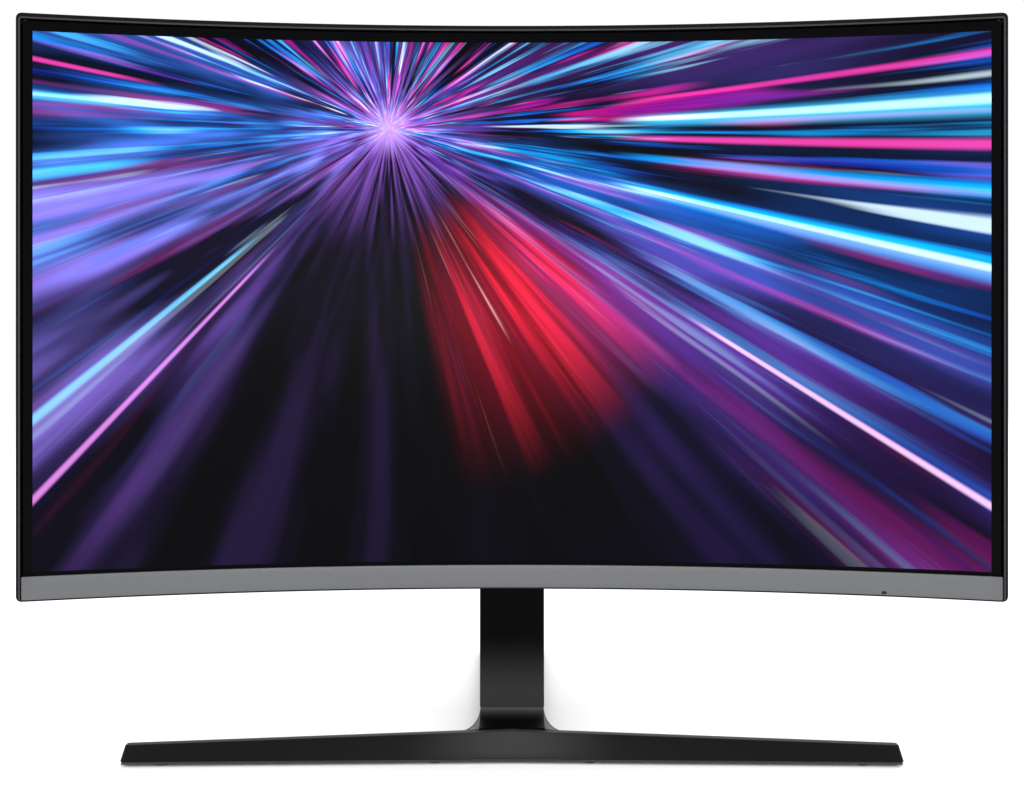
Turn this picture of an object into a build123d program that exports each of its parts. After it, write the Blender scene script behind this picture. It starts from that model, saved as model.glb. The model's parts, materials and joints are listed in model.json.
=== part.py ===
# A 27-inch curved computer monitor on a slim fixed stand.
#
# Millimetres. +Z is up and the display faces -Y, so +X is on the viewer's right.
# The origin is on the desk, straight below the middle of the neck.

import os
from math import cos, degrees, pi, sin

from build123d import *

os.makedirs("parts", exist_ok=True)

# ---- driving sizes: display and head
curve_radius = 1500.0  # of the display surface, about a vertical axis in front of it
active_arc = 597.9  # picture width, measured along the curve
active_height = 336.3
side_border = 5.3  # black border of the panel outside the picture
top_border = 4.65
bottom_border = 2.3
panel_gap = 0.9  # dark groove between the panel and the frame
frame_rim = 2.8  # front width of the frame at each side
top_rim = 3.7
frame_wall = 2.0
frame_lip = 1.2  # how far the frame stands in front of the display
frame_depth = 14.0  # how far it reaches behind the display surface
corner_radius = 4.0
chin_height = 15.5
chin_thick = 3.3
chin_ledge = 0.7  # strip of frame showing below the chin
chin_gap = 0.2
display_y = -41.0  # middle of the display surface
head_low = 111.8  # underside of the head above the desk

# ---- display stack, from the front
cell_thick = 1.6
cell_gap = 0.3
film_thick = 0.6
guide_thick = 2.4
reflector_thick = 0.3
tray_thick = 0.8
layer_gap = 0.1
mid_frame_wall = 3.0
led_bar_height = 2.6

# ---- rear cover
cover_depth = 20.0  # outside of the thin rear wall behind the display surface
cover_wall = 2.2
cover_inset = 1.5
dome_half_width = 170.0
dome_rise = 7.0  # bottom of the dome above the underside of the head
dome_height = 248.0
dome_side_slope = 40.0
dome_low_slope = 7.0
dome_high_slope = 16.0
dome_corner = 22.0
dome_base_y = -31.0
dome_rear_y = 21.0
pocket_side_gap = 4.8  # between the neck and the pocket that it stands in
pocket_front_gap = 6.5
pocket_top_gap = 6.0

# ---- bracket and boards
bracket_y = -31.0  # rear face of the bracket
bracket_thick = 1.6
bracket_half_width = 150.0
vesa_pitch = 75.0
vesa_rise = 181.775  # middle of the mounting pattern above the underside of the head
vesa_hole_radius = 1.65
vesa_thread_depth = 12.0
standoff_radius = 5.0
board_y = -22.4  # rear face of the circuit boards
board_thick = 1.6
board_width = 100.0
board_height = 90.0
board_inner_x = 46.0
board_hole_inset = 5.0
board_drop = 10.0  # lower edge of the boards below the connector bay
screw_radius = 1.5
screw_head_radius = 2.8
screw_head_thick = 1.8
screw_room = 0.1  # between a screw and a plain hole
board_thread = 4.0  # how far the board screws reach into their standoffs
tray_thread = 3.5  # how far the bracket screws reach into the bosses of the tray

# ---- connector bay
bay_width = 84.0
bay_height = 26.0
bay_x = 84.0
bay_rise = 56.0  # middle of the bay above the underside of the head
bay_wall = 2.0
bay_floor_y = -4.0
plate_thick = 1.0
socket_clearance = 0.1

# ---- neck and hinge
neck_width = 43.4
neck_thick = 20.0
neck_wall = 2.0
neck_foot = 23.6  # height of the seam between the neck and the base
core_width = 34.0
core_thick = 14.0
core_wall = 3.0
foot_screw_head = 4.0
foot_screw_radius = 2.0
foot_screw_spacing = 25.0
foot_screw_grip = 9.0  # how far the foot screws reach into the core
foot_screw_drop = 0.3  # heads above the underside of the plate
screw_recess = 1.0  # depth of the sunk screw heads and their slots
hinge_rise = 85.0  # tilt axis above the underside of the head
shaft_radius = 4.0
shaft_fit = 0.05
shaft_clearance = 0.4
arm_thick = 3.0
arm_gap = 2.3  # between the pocket's outer wall and the arm
arm_radius = 13.0
washer_thick = 0.7
nut_thick = 5.0

# ---- base
base_half = 251.0
base_front_y = -46.0
wing_sweep = 5.0  # how much further forward the ends of the bar are than its middle
bar_depth_middle = 40.0
bar_depth_end = 27.0
bar_top_middle = 19.6
bar_top_end = 12.3
bar_lean = 5.5  # how far the front face leans back
bar_land = 6.0  # narrow flat on top
bar_land_fall = 0.6
bar_rear_middle = 5.6
bar_rear_end = 5.0
end_slant = 0.19
base_wall = 2.4
plate_low = 1.5
plate_high = 3.5
plate_inset = 1.5
frame_thick = 2.0
frame_gap = 0.4
stem_end_y = 176.0
stem_half_front = 21.5
stem_half_rear = 25.0
stem_top_front = 17.0
stem_top_rear = 9.0
hub_rear_y = 24.0
tongue_reach = 12.0  # run of the concave sweep in front of the neck
flare_width = 14.0  # run of the concave flare beside the neck's foot
foot_radius = 7.0

# ---- joystick behind the lower right corner, and the light in front of it
jog_arc = 234.5
jog_rise = 11.5
jog_hole_radius = 5.8
jog_housing = 14.0
jog_housing_wall = 1.9
jog_pin_radius = 0.5
jog_pin_fit = 0.05
jog_knob_radius = 4.0
jog_proud = 3.0
jog_depth = 12.2  # circuit board of the joystick below the outside of the cover
jog_post_spacing = 19.0
jog_post_radius = 1.9
jog_board_size = (24.0, 13.0)
jog_board_thick = 1.2
jog_stem_radius = 1.2
jog_stem_length = 4.2
jog_stem_room = 0.06
jog_sleeve_radius = 2.2
jog_frame_thick = 1.6  # of the gimbal and the rocker
jog_pin_root = 0.5  # length of a pin inside the piece that carries it
jog_frame_gap = 0.6
led_half_width = 1.5
led_half_height = 0.95
led_rise = 2.6

# ---- worked out from the sizes above
arc_centre_y = display_y - curve_radius
cell_half_arc = active_arc / 2 + side_border
opening_half_arc = cell_half_arc + panel_gap
head_half_arc = opening_half_arc + frame_rim
cell_low = head_low + chin_height + chin_gap
cell_high = cell_low + bottom_border + active_height + top_border
opening_high = cell_high + panel_gap
head_high = opening_high + top_rim

film_front = cell_thick + cell_gap
guide_front = film_front + film_thick + layer_gap
reflector_front = guide_front + guide_thick + layer_gap
tray_front = reflector_front + reflector_thick + layer_gap
tray_back = tray_front + tray_thick
stack_half_arc = cell_half_arc - mid_frame_wall - cell_gap
stack_low = cell_low + mid_frame_wall + cell_gap
stack_high = cell_high - mid_frame_wall - cell_gap
guide_low = stack_low + led_bar_height + cell_gap

cover_half_arc = head_half_arc - cover_inset
cover_low = head_low + cover_inset
cover_high = head_high - cover_inset
cover_inner = cover_depth - cover_wall
dome_low = head_low + dome_rise
dome_high = dome_low + dome_height
hinge_z = head_low + hinge_rise
pocket_half = neck_width / 2 + pocket_side_gap
pocket_front_y = -neck_thick / 2 - pocket_front_gap
pocket_high = hinge_z + neck_thick / 2 + pocket_top_gap
arm_x = pocket_half + cover_wall + arm_gap
bay_z = head_low + bay_rise
board_low = bay_z - bay_height / 2 - board_drop
shaft_half = arm_x + arm_thick + 2 * washer_thick + nut_thick + 2


def arc_point(depth, along):
    # plan position at a depth behind the display surface and a distance along it from the middle
    radius = curve_radius + depth
    angle = along / curve_radius
    return (radius * sin(angle), arc_centre_y + radius * cos(angle))


def radial_plane(depth, along, height):
    # plane square to the curve, facing backwards: local X along the curve, local Y down
    angle = along / curve_radius
    x, y = arc_point(depth, along)
    across = (cos(angle), -sin(angle), 0)
    return Plane(origin=(x, y, height), x_dir=across, z_dir=(sin(angle), cos(angle), 0))


def back_plane(y):
    # upright plane at y, facing backwards: local X points to -X, local Y up
    return Plane(origin=(0, y, 0), x_dir=(-1, 0, 0), z_dir=(0, 1, 0))


def curved_slab(front, back, half_arc, low, high, corner=0.0):
    # block between two depths behind the display, its ends square to the curve
    half_angle = degrees(half_arc / curve_radius)
    with BuildPart() as slab:
        with BuildSketch(Plane.XY.offset(low)):
            with BuildLine():
                CenterArc((0, arc_centre_y), curve_radius + front, 90 - half_angle, 2 * half_angle)
                Line(arc_point(front, -half_arc), arc_point(back, -half_arc))
                CenterArc((0, arc_centre_y), curve_radius + back, 90 - half_angle, 2 * half_angle)
                Line(arc_point(back, half_arc), arc_point(front, half_arc))
            make_face()
        extrude(amount=high - low)
        if corner:
            ends = slab.edges().filter_by(GeomType.LINE).filter_by(Axis.Z, reverse=True)
            fillet(ends, corner)
    return slab.part


def upright_box(x0, x1, y0, y1, z0, z1):
    with BuildPart() as block:
        with BuildSketch(Plane.XY.offset(z0)):
            with Locations(((x0 + x1) / 2, (y0 + y1) / 2)):
                Rectangle(x1 - x0, y1 - y0)
        extrude(amount=z1 - z0)
    return block.part


def save(node, label):
    node.part.label = label
    export_step(node.part, f"parts/{label}.step")


# ---- head: frame, chin and display stack
with BuildPart() as front_frame:
    add(curved_slab(-frame_lip, frame_depth, head_half_arc, head_low, head_high, corner_radius))
    # window for the panel, recess for the chin strip, and the hollow behind the chin wall
    window = curved_slab(-5, frame_depth + 1, opening_half_arc, head_low + chin_height, opening_high)
    add(window, mode=Mode.SUBTRACT)
    recess = curved_slab(-5, chin_thick - frame_lip, opening_half_arc, head_low + chin_ledge,
                         head_low + chin_height)
    add(recess, mode=Mode.SUBTRACT)
    hollow = curved_slab(chin_thick - frame_lip + frame_wall, frame_depth + 1, opening_half_arc,
                         head_low + frame_wall, head_low + chin_height)
    add(hollow, mode=Mode.SUBTRACT)
    # duct for the light guide of the power lamp
    with BuildSketch(radial_plane(-5, jog_arc, head_low + led_rise)):
        SlotOverall(2 * led_half_width + 0.4, 2 * led_half_height + 0.4)
    extrude(amount=12, mode=Mode.SUBTRACT)

with BuildPart() as chin_trim:
    chin_half = opening_half_arc - chin_gap
    chin_low = head_low + chin_ledge + layer_gap
    add(curved_slab(-frame_lip, chin_thick - frame_lip - layer_gap, chin_half, chin_low,
                    head_low + chin_height))
    front_arcs = chin_trim.edges().filter_by(GeomType.CIRCLE).sort_by(SortBy.RADIUS)[:2]
    chamfer(front_arcs, 0.4)
    with BuildSketch(radial_plane(-5, jog_arc, head_low + led_rise)):
        SlotOverall(2 * led_half_width + 0.1, 2 * led_half_height + 0.1)
    extrude(amount=12, mode=Mode.SUBTRACT)

with BuildPart() as power_led_lens:
    with BuildSketch(radial_plane(-frame_lip - 0.2, jog_arc, head_low + led_rise)):
        SlotOverall(2 * led_half_width, 2 * led_half_height)
    extrude(amount=chin_thick + frame_wall + 1)

with BuildPart() as lcd_cell:
    add(curved_slab(0, cell_thick, cell_half_arc, cell_low, cell_high, 2.0))

with BuildPart() as optical_films:
    add(curved_slab(film_front, film_front + film_thick, stack_half_arc, guide_low, stack_high))

with BuildPart() as light_guide:
    add(curved_slab(guide_front, guide_front + guide_thick, stack_half_arc, guide_low, stack_high))

with BuildPart() as reflector_sheet:
    add(curved_slab(reflector_front, reflector_front + reflector_thick, stack_half_arc, guide_low,
                    stack_high))

with BuildPart() as led_bar:
    add(curved_slab(guide_front, guide_front + guide_thick, stack_half_arc, stack_low,
                    stack_low + led_bar_height))

with BuildPart() as mid_frame:
    add(curved_slab(film_front, tray_front - layer_gap, cell_half_arc, cell_low, cell_high))
    inside = curved_slab(film_front - 1, tray_front + 1, cell_half_arc - mid_frame_wall,
                         cell_low + mid_frame_wall, cell_high - mid_frame_wall)
    add(inside, mode=Mode.SUBTRACT)

tray_boss_points = [(x, z) for x in (-120.0, 120.0) for z in (head_low + 53, head_low + 223)]
cover_screw_points = [(along, z) for along in (-215.0, 215.0) for z in (head_low + 34, head_high - 34)]
cover_boss_front = tray_back + 0.7

with BuildPart() as panel_tray:
    add(curved_slab(tray_front, tray_back, cell_half_arc, cell_low, cell_high))
    # bosses that carry the bracket, trimmed where they meet the curved tray
    with BuildSketch(back_plane(bracket_y - bracket_thick)):
        with Locations(*[(-x, z) for x, z in tray_boss_points]):
            Circle(screw_radius + 3)
    extrude(amount=display_y - bracket_y)
    add(curved_slab(-40, tray_front, cell_half_arc, cell_low, cell_high), mode=Mode.SUBTRACT)
    with BuildSketch(back_plane(bracket_y - bracket_thick)):
        with Locations(*[(-x, z) for x, z in tray_boss_points]):
            Circle(screw_radius)
    extrude(amount=-tray_thread, mode=Mode.SUBTRACT)
    for along, z in cover_screw_points:
        with BuildSketch(radial_plane(tray_front + tray_thick / 4, along, z)):
            Circle(screw_radius + 2)
        extrude(amount=cover_boss_front - tray_front - tray_thick / 4)
        with BuildSketch(radial_plane(cover_boss_front, along, z)):
            Circle(screw_radius)
        extrude(amount=-4, mode=Mode.SUBTRACT)


# ---- head: rear cover
def dome_block(inset, front_y, rear_y):
    # tapered block behind the head; the inset moves every side inwards
    run = dome_rear_y - dome_base_y
    ends = []
    for y in (front_y, rear_y):
        share = (y - dome_base_y) / run
        half = dome_half_width - dome_side_slope * share - inset
        low = dome_low + dome_low_slope * share + inset
        high = dome_high - dome_high_slope * share - inset
        ends.append((y, half, low, high))
    with BuildPart() as dome:
        for y, half, low, high in ends:
            with BuildSketch(back_plane(y)):
                with Locations((0, (low + high) / 2)):
                    RectangleRounded(2 * half, high - low, dome_corner - inset)
        loft()
    return dome.part


def jog_sketch_plane(depth):
    return radial_plane(depth, jog_arc, head_low + jog_rise)


vent_rows = 9
vent_pitch = 7.0
vent_slot = (24.0, 3.0)
vent_x = 88.0
vent_z = dome_high - dome_high_slope - 34
vesa_offsets = (-vesa_pitch / 2, vesa_pitch / 2)
vesa_points = [(x, head_low + vesa_rise + z) for x in vesa_offsets for z in vesa_offsets]
lock_x = -100.0
lock_z = bay_z
lock_slot = (7.0, 3.0)

with BuildPart() as rear_cover:
    add(curved_slab(frame_depth, cover_depth, cover_half_arc, cover_low, cover_high, corner_radius))
    add(dome_block(0, dome_base_y, dome_rear_y))
    rear_rim = rear_cover.faces().filter_by(Axis.Y).sort_by(Axis.Y)[-1].edges()
    fillet(rear_rim, 5.0)
    # hollow it out, leaving the walls
    add(curved_slab(frame_depth - 9, cover_inner, cover_half_arc - cover_wall, cover_low + cover_wall,
                    cover_high - cover_wall), mode=Mode.SUBTRACT)
    add(dome_block(cover_wall, dome_base_y, dome_rear_y - cover_wall), mode=Mode.SUBTRACT)
    # pocket that the neck stands in, open below and behind
    add(upright_box(-pocket_half - cover_wall, pocket_half + cover_wall, pocket_front_y - cover_wall,
                    dome_rear_y - 3, dome_low + 3, pocket_high + cover_wall))
    add(upright_box(-pocket_half, pocket_half, pocket_front_y, dome_rear_y + 1, dome_low - 5,
                    pocket_high), mode=Mode.SUBTRACT)
    # connector bay
    bay_walls = upright_box(bay_x - bay_width / 2 - bay_wall, bay_x + bay_width / 2 + bay_wall,
                            bay_floor_y - plate_thick, dome_rear_y - 1,
                            bay_z - bay_height / 2 - bay_wall, bay_z + bay_height / 2 + bay_wall)
    add(bay_walls)
    bay_space = upright_box(bay_x - bay_width / 2, bay_x + bay_width / 2, bay_floor_y - plate_thick - 1,
                            dome_rear_y + 1, bay_z - bay_height / 2, bay_z + bay_height / 2)
    add(bay_space, mode=Mode.SUBTRACT)
    # round wells for the mounting standoffs, the vents, the lock slot
    with BuildSketch(back_plane(dome_rear_y + 1)):
        with Locations(*[(-x, z) for x, z in vesa_points]):
            Circle(standoff_radius + socket_clearance)
        for side in (-1, 1):
            with Locations((side * vent_x, vent_z)):
                with GridLocations(vent_pitch, 1, vent_rows, 1):
                    SlotOverall(*vent_slot, rotation=90)
        with Locations((-lock_x, lock_z)):
            RectangleRounded(*lock_slot, 0.8)
    extrude(amount=-(cover_wall + 2), mode=Mode.SUBTRACT)
    # screw bosses with sunk heads
    for along, z in cover_screw_points:
        with BuildSketch(radial_plane(cover_boss_front, along, z)):
            Circle(screw_radius + 2.4)
        extrude(amount=cover_depth - cover_boss_front - 0.5)
        with BuildSketch(radial_plane(cover_depth + 1, along, z)):
            Circle(screw_head_radius + 0.3)
        extrude(amount=-(screw_head_thick + 1.6), mode=Mode.SUBTRACT)
        with BuildSketch(radial_plane(cover_depth + 1, along, z)):
            Circle(screw_radius + screw_room)
        extrude(amount=-cover_depth, mode=Mode.SUBTRACT)
    # posts for the joystick board and the hole for its knob
    with BuildSketch(jog_sketch_plane(cover_inner + 0.5)):
        with GridLocations(jog_post_spacing, 1, 2, 1):
            Circle(jog_post_radius)
    extrude(amount=-(cover_inner + 0.5 - (cover_depth - jog_depth)))
    with BuildSketch(jog_sketch_plane(cover_depth + 1)):
        Circle(jog_hole_radius)
    extrude(amount=-(cover_wall + 2), mode=Mode.SUBTRACT)
    # holes for the hinge shaft through the pocket's sides
    with BuildSketch(Plane.YZ.offset(-pocket_half - cover_wall - 1)):
        with Locations((0, hinge_z)):
            Circle(shaft_radius + shaft_clearance)
    extrude(amount=2 * (pocket_half + cover_wall + 1), mode=Mode.SUBTRACT)


# ---- head: bracket, mounting standoffs and hinge
bracket_low = head_low + 35
bracket_high = head_low + 240
arm_high = hinge_z + 34
board_centres = {"main": board_inner_x + board_width / 2, "power": -board_inner_x - board_width / 2}
board_mid_z = board_low + board_height / 2
hole_grid = (board_width - 2 * board_hole_inset, board_height - 2 * board_hole_inset, 2, 2)
arm_bolt_points = [(side * (arm_x - 6), z) for side in (-1, 1) for z in (hinge_z + 10, hinge_z + 26)]

with BuildPart() as mount_bracket:
    with BuildSketch(back_plane(bracket_y)):
        with Locations((0, (bracket_low + bracket_high) / 2)):
            RectangleRounded(2 * bracket_half_width, bracket_high - bracket_low, 8)
        # the middle is cut away below the hinge, where the neck stands
        with Locations((0, bracket_low)):
            Rectangle(2 * (pocket_half - 6), 2 * (hinge_z - 14 - bracket_low), mode=Mode.SUBTRACT)
        with Locations(*[(-x, z) for x, z in tray_boss_points]):
            Circle(screw_radius + screw_room, mode=Mode.SUBTRACT)
    extrude(amount=-bracket_thick)

with BuildPart() as bracket_screws:
    with BuildSketch(back_plane(bracket_y)):
        with Locations(*[(-x, z) for x, z in tray_boss_points]):
            Circle(screw_head_radius)
    extrude(amount=screw_head_thick)
    with BuildSketch(back_plane(bracket_y)):
        with Locations(*[(-x, z) for x, z in tray_boss_points]):
            Circle(screw_radius)
    extrude(amount=-(bracket_thick + tray_thread))

with BuildPart() as vesa_standoffs:
    with BuildSketch(back_plane(bracket_y)):
        with Locations(*[(-x, z) for x, z in vesa_points]):
            Circle(standoff_radius)
    extrude(amount=dome_rear_y - bracket_y)
    with BuildSketch(back_plane(dome_rear_y)):
        with Locations(*[(-x, z) for x, z in vesa_points]):
            Circle(vesa_hole_radius)
    extrude(amount=-vesa_thread_depth, mode=Mode.SUBTRACT)

with BuildPart() as hinge_arms:
    for side in (-1, 1):
        # cheek plate round the shaft, and a foot on the bracket
        with BuildSketch(Plane.YZ.offset(side * arm_x)):
            with Locations((0, hinge_z)):
                Circle(arm_radius)
            with BuildLine():
                Polyline((0, hinge_z - arm_radius), (bracket_y, hinge_z - arm_radius),
                         (bracket_y, arm_high), (bracket_y + 8, arm_high), (arm_radius * 0.8, hinge_z + arm_radius * 0.6),
                         (0, hinge_z), close=True)
            make_face()
            with Locations((0, hinge_z)):
                Circle(shaft_radius, mode=Mode.SUBTRACT)
        extrude(amount=side * arm_thick)
        near, far = sorted((side * (arm_x - 10), side * arm_x))
        add(upright_box(near, far, bracket_y, bracket_y + arm_thick, hinge_z + 2, arm_high))
    with BuildSketch(back_plane(bracket_y)):
        with Locations(*[(-x, z) for x, z in arm_bolt_points]):
            Circle(screw_radius)
    extrude(amount=arm_thick + 1, mode=Mode.SUBTRACT)

with BuildPart() as hinge_shaft:
    with BuildSketch(Plane.YZ.offset(-shaft_half)):
        with Locations((0, hinge_z)):
            Circle(shaft_radius)
    extrude(amount=2 * shaft_half)
    chamfer(hinge_shaft.edges().filter_by(GeomType.CIRCLE), 0.6)

with BuildPart() as hinge_washers:
    for side in (-1, 1):
        for turn in (0, 1):
            start = side * (arm_x + arm_thick + turn * washer_thick)
            with BuildSketch(Plane.YZ.offset(start)):
                with Locations((0, hinge_z)):
                    Circle(shaft_radius + 4 - turn)
                    Circle(shaft_radius, mode=Mode.SUBTRACT)
            extrude(amount=side * (washer_thick - 0.02))

with BuildPart() as hinge_nuts:
    for side in (-1, 1):
        with BuildSketch(Plane.YZ.offset(side * (arm_x + arm_thick + 2 * washer_thick))):
            with Locations((0, hinge_z)):
                RegularPolygon(shaft_radius + 3, 6)
                Circle(shaft_radius, mode=Mode.SUBTRACT)
        extrude(amount=side * nut_thick)

# ---- head: boards and what is on them
def circuit_board(centre):
    # plain board with a hole near each corner
    with BuildPart() as board:
        with BuildSketch(back_plane(board_y)):
            with Locations((-centre, board_mid_z)):
                Rectangle(board_width, board_height)
                with GridLocations(*hole_grid):
                    Circle(screw_radius, mode=Mode.SUBTRACT)
        extrude(amount=-board_thick)
    return board.part


with BuildPart() as main_board:
    add(circuit_board(board_centres["main"]))

with BuildPart() as power_board:
    add(circuit_board(board_centres["power"]))

with BuildPart() as board_standoffs:
    with BuildSketch(back_plane(board_y - board_thick)):
        for centre in board_centres.values():
            with Locations((-centre, board_mid_z)):
                with GridLocations(*hole_grid):
                    Circle(screw_radius + 1.2)
                    Circle(screw_radius, mode=Mode.SUBTRACT)
    extrude(amount=-(board_y - board_thick - bracket_y))

with BuildPart() as board_screws:
    with BuildSketch(back_plane(board_y)):
        for centre in board_centres.values():
            with Locations((-centre, board_mid_z)):
                with GridLocations(*hole_grid):
                    Circle(screw_head_radius)
    extrude(amount=screw_head_thick)
    with BuildSketch(back_plane(board_y)):
        for centre in board_centres.values():
            with Locations((-centre, board_mid_z)):
                with GridLocations(*hole_grid):
                    Circle(screw_radius)
    extrude(amount=-(board_thick + board_thread))

heatsink_size = 32.0
heatsink_base = 2.0
fin_height = 7.0
fin_thick = 1.2
fin_count = 8
heatsink_at = (-(board_centres["main"] + 8), board_low + board_height - 28)

with BuildPart() as main_chip_heatsink:
    with BuildSketch(back_plane(board_y)):
        with Locations(heatsink_at):
            Rectangle(heatsink_size, heatsink_size)
    extrude(amount=heatsink_base)
    with BuildSketch(back_plane(board_y + heatsink_base)):
        with Locations(heatsink_at):
            with GridLocations((heatsink_size - fin_thick) / (fin_count - 1), 1, fin_count, 1):
                Rectangle(fin_thick, heatsink_size)
    extrude(amount=fin_height)

# each entry: place across the board, width, height, depth of the part above the board
power_blocks = [(-26.0, 24.0, 26.0, 20.0), (6.0, 16.0, 16.0, 13.0)]
capacitor_points = [(30.0, -24.0), (30.0, -6.0), (-6.0, -28.0), (12.0, -28.0)]
capacitor_radius = 6.0
capacitor_height = 21.0

with BuildPart() as power_components:
    for across, width, height, tall in power_blocks:
        with BuildSketch(back_plane(board_y)):
            with Locations((-board_centres["power"] + across, board_mid_z + 14)):
                RectangleRounded(width, height, 1.5)
        extrude(amount=tall)
    with BuildSketch(back_plane(board_y)):
        with Locations((-board_centres["power"], board_mid_z)):
            with Locations(*capacitor_points):
                Circle(capacitor_radius)
    extrude(amount=capacitor_height)

timing_half = 90.0
timing_rise = 12.0
timing_height = 16.0
timing_thick = 1.2
timing_y = -29.4
ribbon_x = 70.0
ribbon_width = 30.0
ribbon_thick = 0.4
ribbon_plug = 3.0
harness_x = -96.0
harness_width = 8.0
harness_thick = 0.8
cable_lift = 1.0  # flat cables behind the timing board
cable_turn = 4.0  # height of the stretch that goes back to the boards
cable_lap = 8.0  # how far they reach above the boards' lower edge
timing_low = head_low + timing_rise
cable_top = board_low + cable_lap


def flat_cable(x, width, thick, low):
    # upright run behind the display, and a short run back to the front of a board
    with BuildPart() as cable:
        add(upright_box(x - width / 2, x + width / 2, timing_y + cable_lift, timing_y + cable_lift + thick,
                        low, cable_top))
        add(upright_box(x - width / 2, x + width / 2, timing_y + cable_lift, board_y - board_thick,
                        cable_top - cable_turn, cable_top))
    return cable.part


with BuildPart() as timing_board:
    add(upright_box(-timing_half, timing_half, timing_y - timing_thick, timing_y, timing_low,
                    timing_low + timing_height))

with BuildPart() as panel_ribbon:
    ribbon_foot = timing_low + timing_height - 5
    add(upright_box(ribbon_x - ribbon_width / 2, ribbon_x + ribbon_width / 2, timing_y,
                    timing_y + ribbon_plug, ribbon_foot, ribbon_foot + cable_turn))
    add(flat_cable(ribbon_x, ribbon_width, ribbon_thick, ribbon_foot))

with BuildPart() as led_harness:
    add(flat_cable(harness_x, harness_width, harness_thick, timing_low))

# ---- head: connectors in the bay
socket_back_y = bay_floor_y + 0.5
socket_skin = 0.6
socket_depth = 11.0
hdmi_places = (-14.0, 4.0)  # from the middle of the bay
hdmi_size = (15.2, 5.8)
hdmi_tongue = 10.5
displayport_place = 22.0
displayport_size = (17.0, 6.0)
displayport_tongue = 12.5
dc_offset = -32.0
audio_offset = 36.0
audio_radius = 1.8
audio_depth = 14.0
dc_radius = 5.2
dc_bore = 3.2
dc_pin = 0.8
dc_bore_depth = 10.0
audio_body = 3.6


def video_socket(place, size, tongue):
    # metal shell standing on the board, open at the back, with a contact tongue inside
    x = bay_x + place
    width, height = size
    inner_width, inner_height = width / 2 - socket_skin, height / 2 - socket_skin
    with BuildPart() as socket:
        add(upright_box(x - width / 2, x + width / 2, board_y, socket_back_y, bay_z - height / 2,
                        bay_z + height / 2))
        add(upright_box(x - inner_width, x + inner_width, socket_back_y - socket_depth,
                        socket_back_y + 1, bay_z - inner_height, bay_z + inner_height), mode=Mode.SUBTRACT)
        add(upright_box(x - tongue / 2, x + tongue / 2, socket_back_y - socket_depth - socket_skin,
                        socket_back_y - 2.5 * socket_skin, bay_z - socket_skin, bay_z + socket_skin))
    return socket.part


with BuildPart() as hdmi_sockets:
    for place in hdmi_places:
        add(video_socket(place, hdmi_size, hdmi_tongue))

with BuildPart() as displayport_socket:
    add(video_socket(displayport_place, displayport_size, displayport_tongue))

with BuildPart() as audio_jack:
    with BuildSketch(back_plane(board_y)):
        with Locations((-(bay_x + audio_offset), bay_z)):
            Circle(audio_body)
    extrude(amount=socket_back_y - board_y)
    with BuildSketch(back_plane(socket_back_y)):
        with Locations((-(bay_x + audio_offset), bay_z)):
            Circle(audio_radius)
    extrude(amount=-audio_depth, mode=Mode.SUBTRACT)

with BuildPart() as dc_inlet:
    with BuildSketch(back_plane(board_y)):
        with Locations((-(bay_x + dc_offset), bay_z)):
            Circle(dc_radius)
    extrude(amount=socket_back_y - board_y)
    with BuildSketch(back_plane(socket_back_y)):
        with Locations((-(bay_x + dc_offset), bay_z)):
            Circle(dc_bore)
            Circle(dc_pin, mode=Mode.SUBTRACT)
    extrude(amount=-dc_bore_depth, mode=Mode.SUBTRACT)

with BuildPart() as connector_plate:
    with BuildSketch(back_plane(bay_floor_y)):
        with Locations((-bay_x, bay_z)):
            Rectangle(bay_width - 2 * socket_clearance, bay_height - 2 * socket_clearance)
        for place, (width, height) in [*((place, hdmi_size) for place in hdmi_places),
                                       (displayport_place, displayport_size)]:
            with Locations((-(bay_x + place), bay_z)):
                Rectangle(width + 2 * socket_clearance, height + 2 * socket_clearance, mode=Mode.SUBTRACT)
        with Locations((-(bay_x + audio_offset), bay_z)):
            Circle(audio_body + socket_clearance, mode=Mode.SUBTRACT)
        with Locations((-(bay_x + dc_offset), bay_z)):
            Circle(dc_radius + socket_clearance, mode=Mode.SUBTRACT)
    extrude(amount=-plate_thick)

with BuildPart() as lock_slot_plate:
    with BuildSketch(back_plane(dome_rear_y - cover_wall)):
        with Locations((-lock_x, lock_z)):
            RectangleRounded(18, 14, 1.5)
            RectangleRounded(*lock_slot, 0.8, mode=Mode.SUBTRACT)
    extrude(amount=-1.5)

with BuildPart() as cover_screws:
    for along, z in cover_screw_points:
        seat = cover_depth + 1 - screw_head_thick - 1.6
        with BuildSketch(radial_plane(seat, along, z)):
            Circle(screw_head_radius)
        extrude(amount=screw_head_thick)
        with BuildSketch(radial_plane(seat, along, z)):
            Circle(screw_radius)
        extrude(amount=-(seat - tray_front - 0.2))

# ---- head: joystick
jog_floor = cover_depth - jog_depth
jog_top = cover_depth - 4.8
jog_pivot = cover_depth - 8.5
gimbal_outer = jog_housing - 2 * jog_housing_wall - 2 * jog_frame_gap
gimbal_inner = gimbal_outer - 2.4
rocker_size = gimbal_inner - 2 * jog_frame_gap

with BuildPart() as jog_board:
    with BuildSketch(jog_sketch_plane(jog_floor)):
        RectangleRounded(*jog_board_size, 1)
    extrude(amount=-jog_board_thick)

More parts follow.
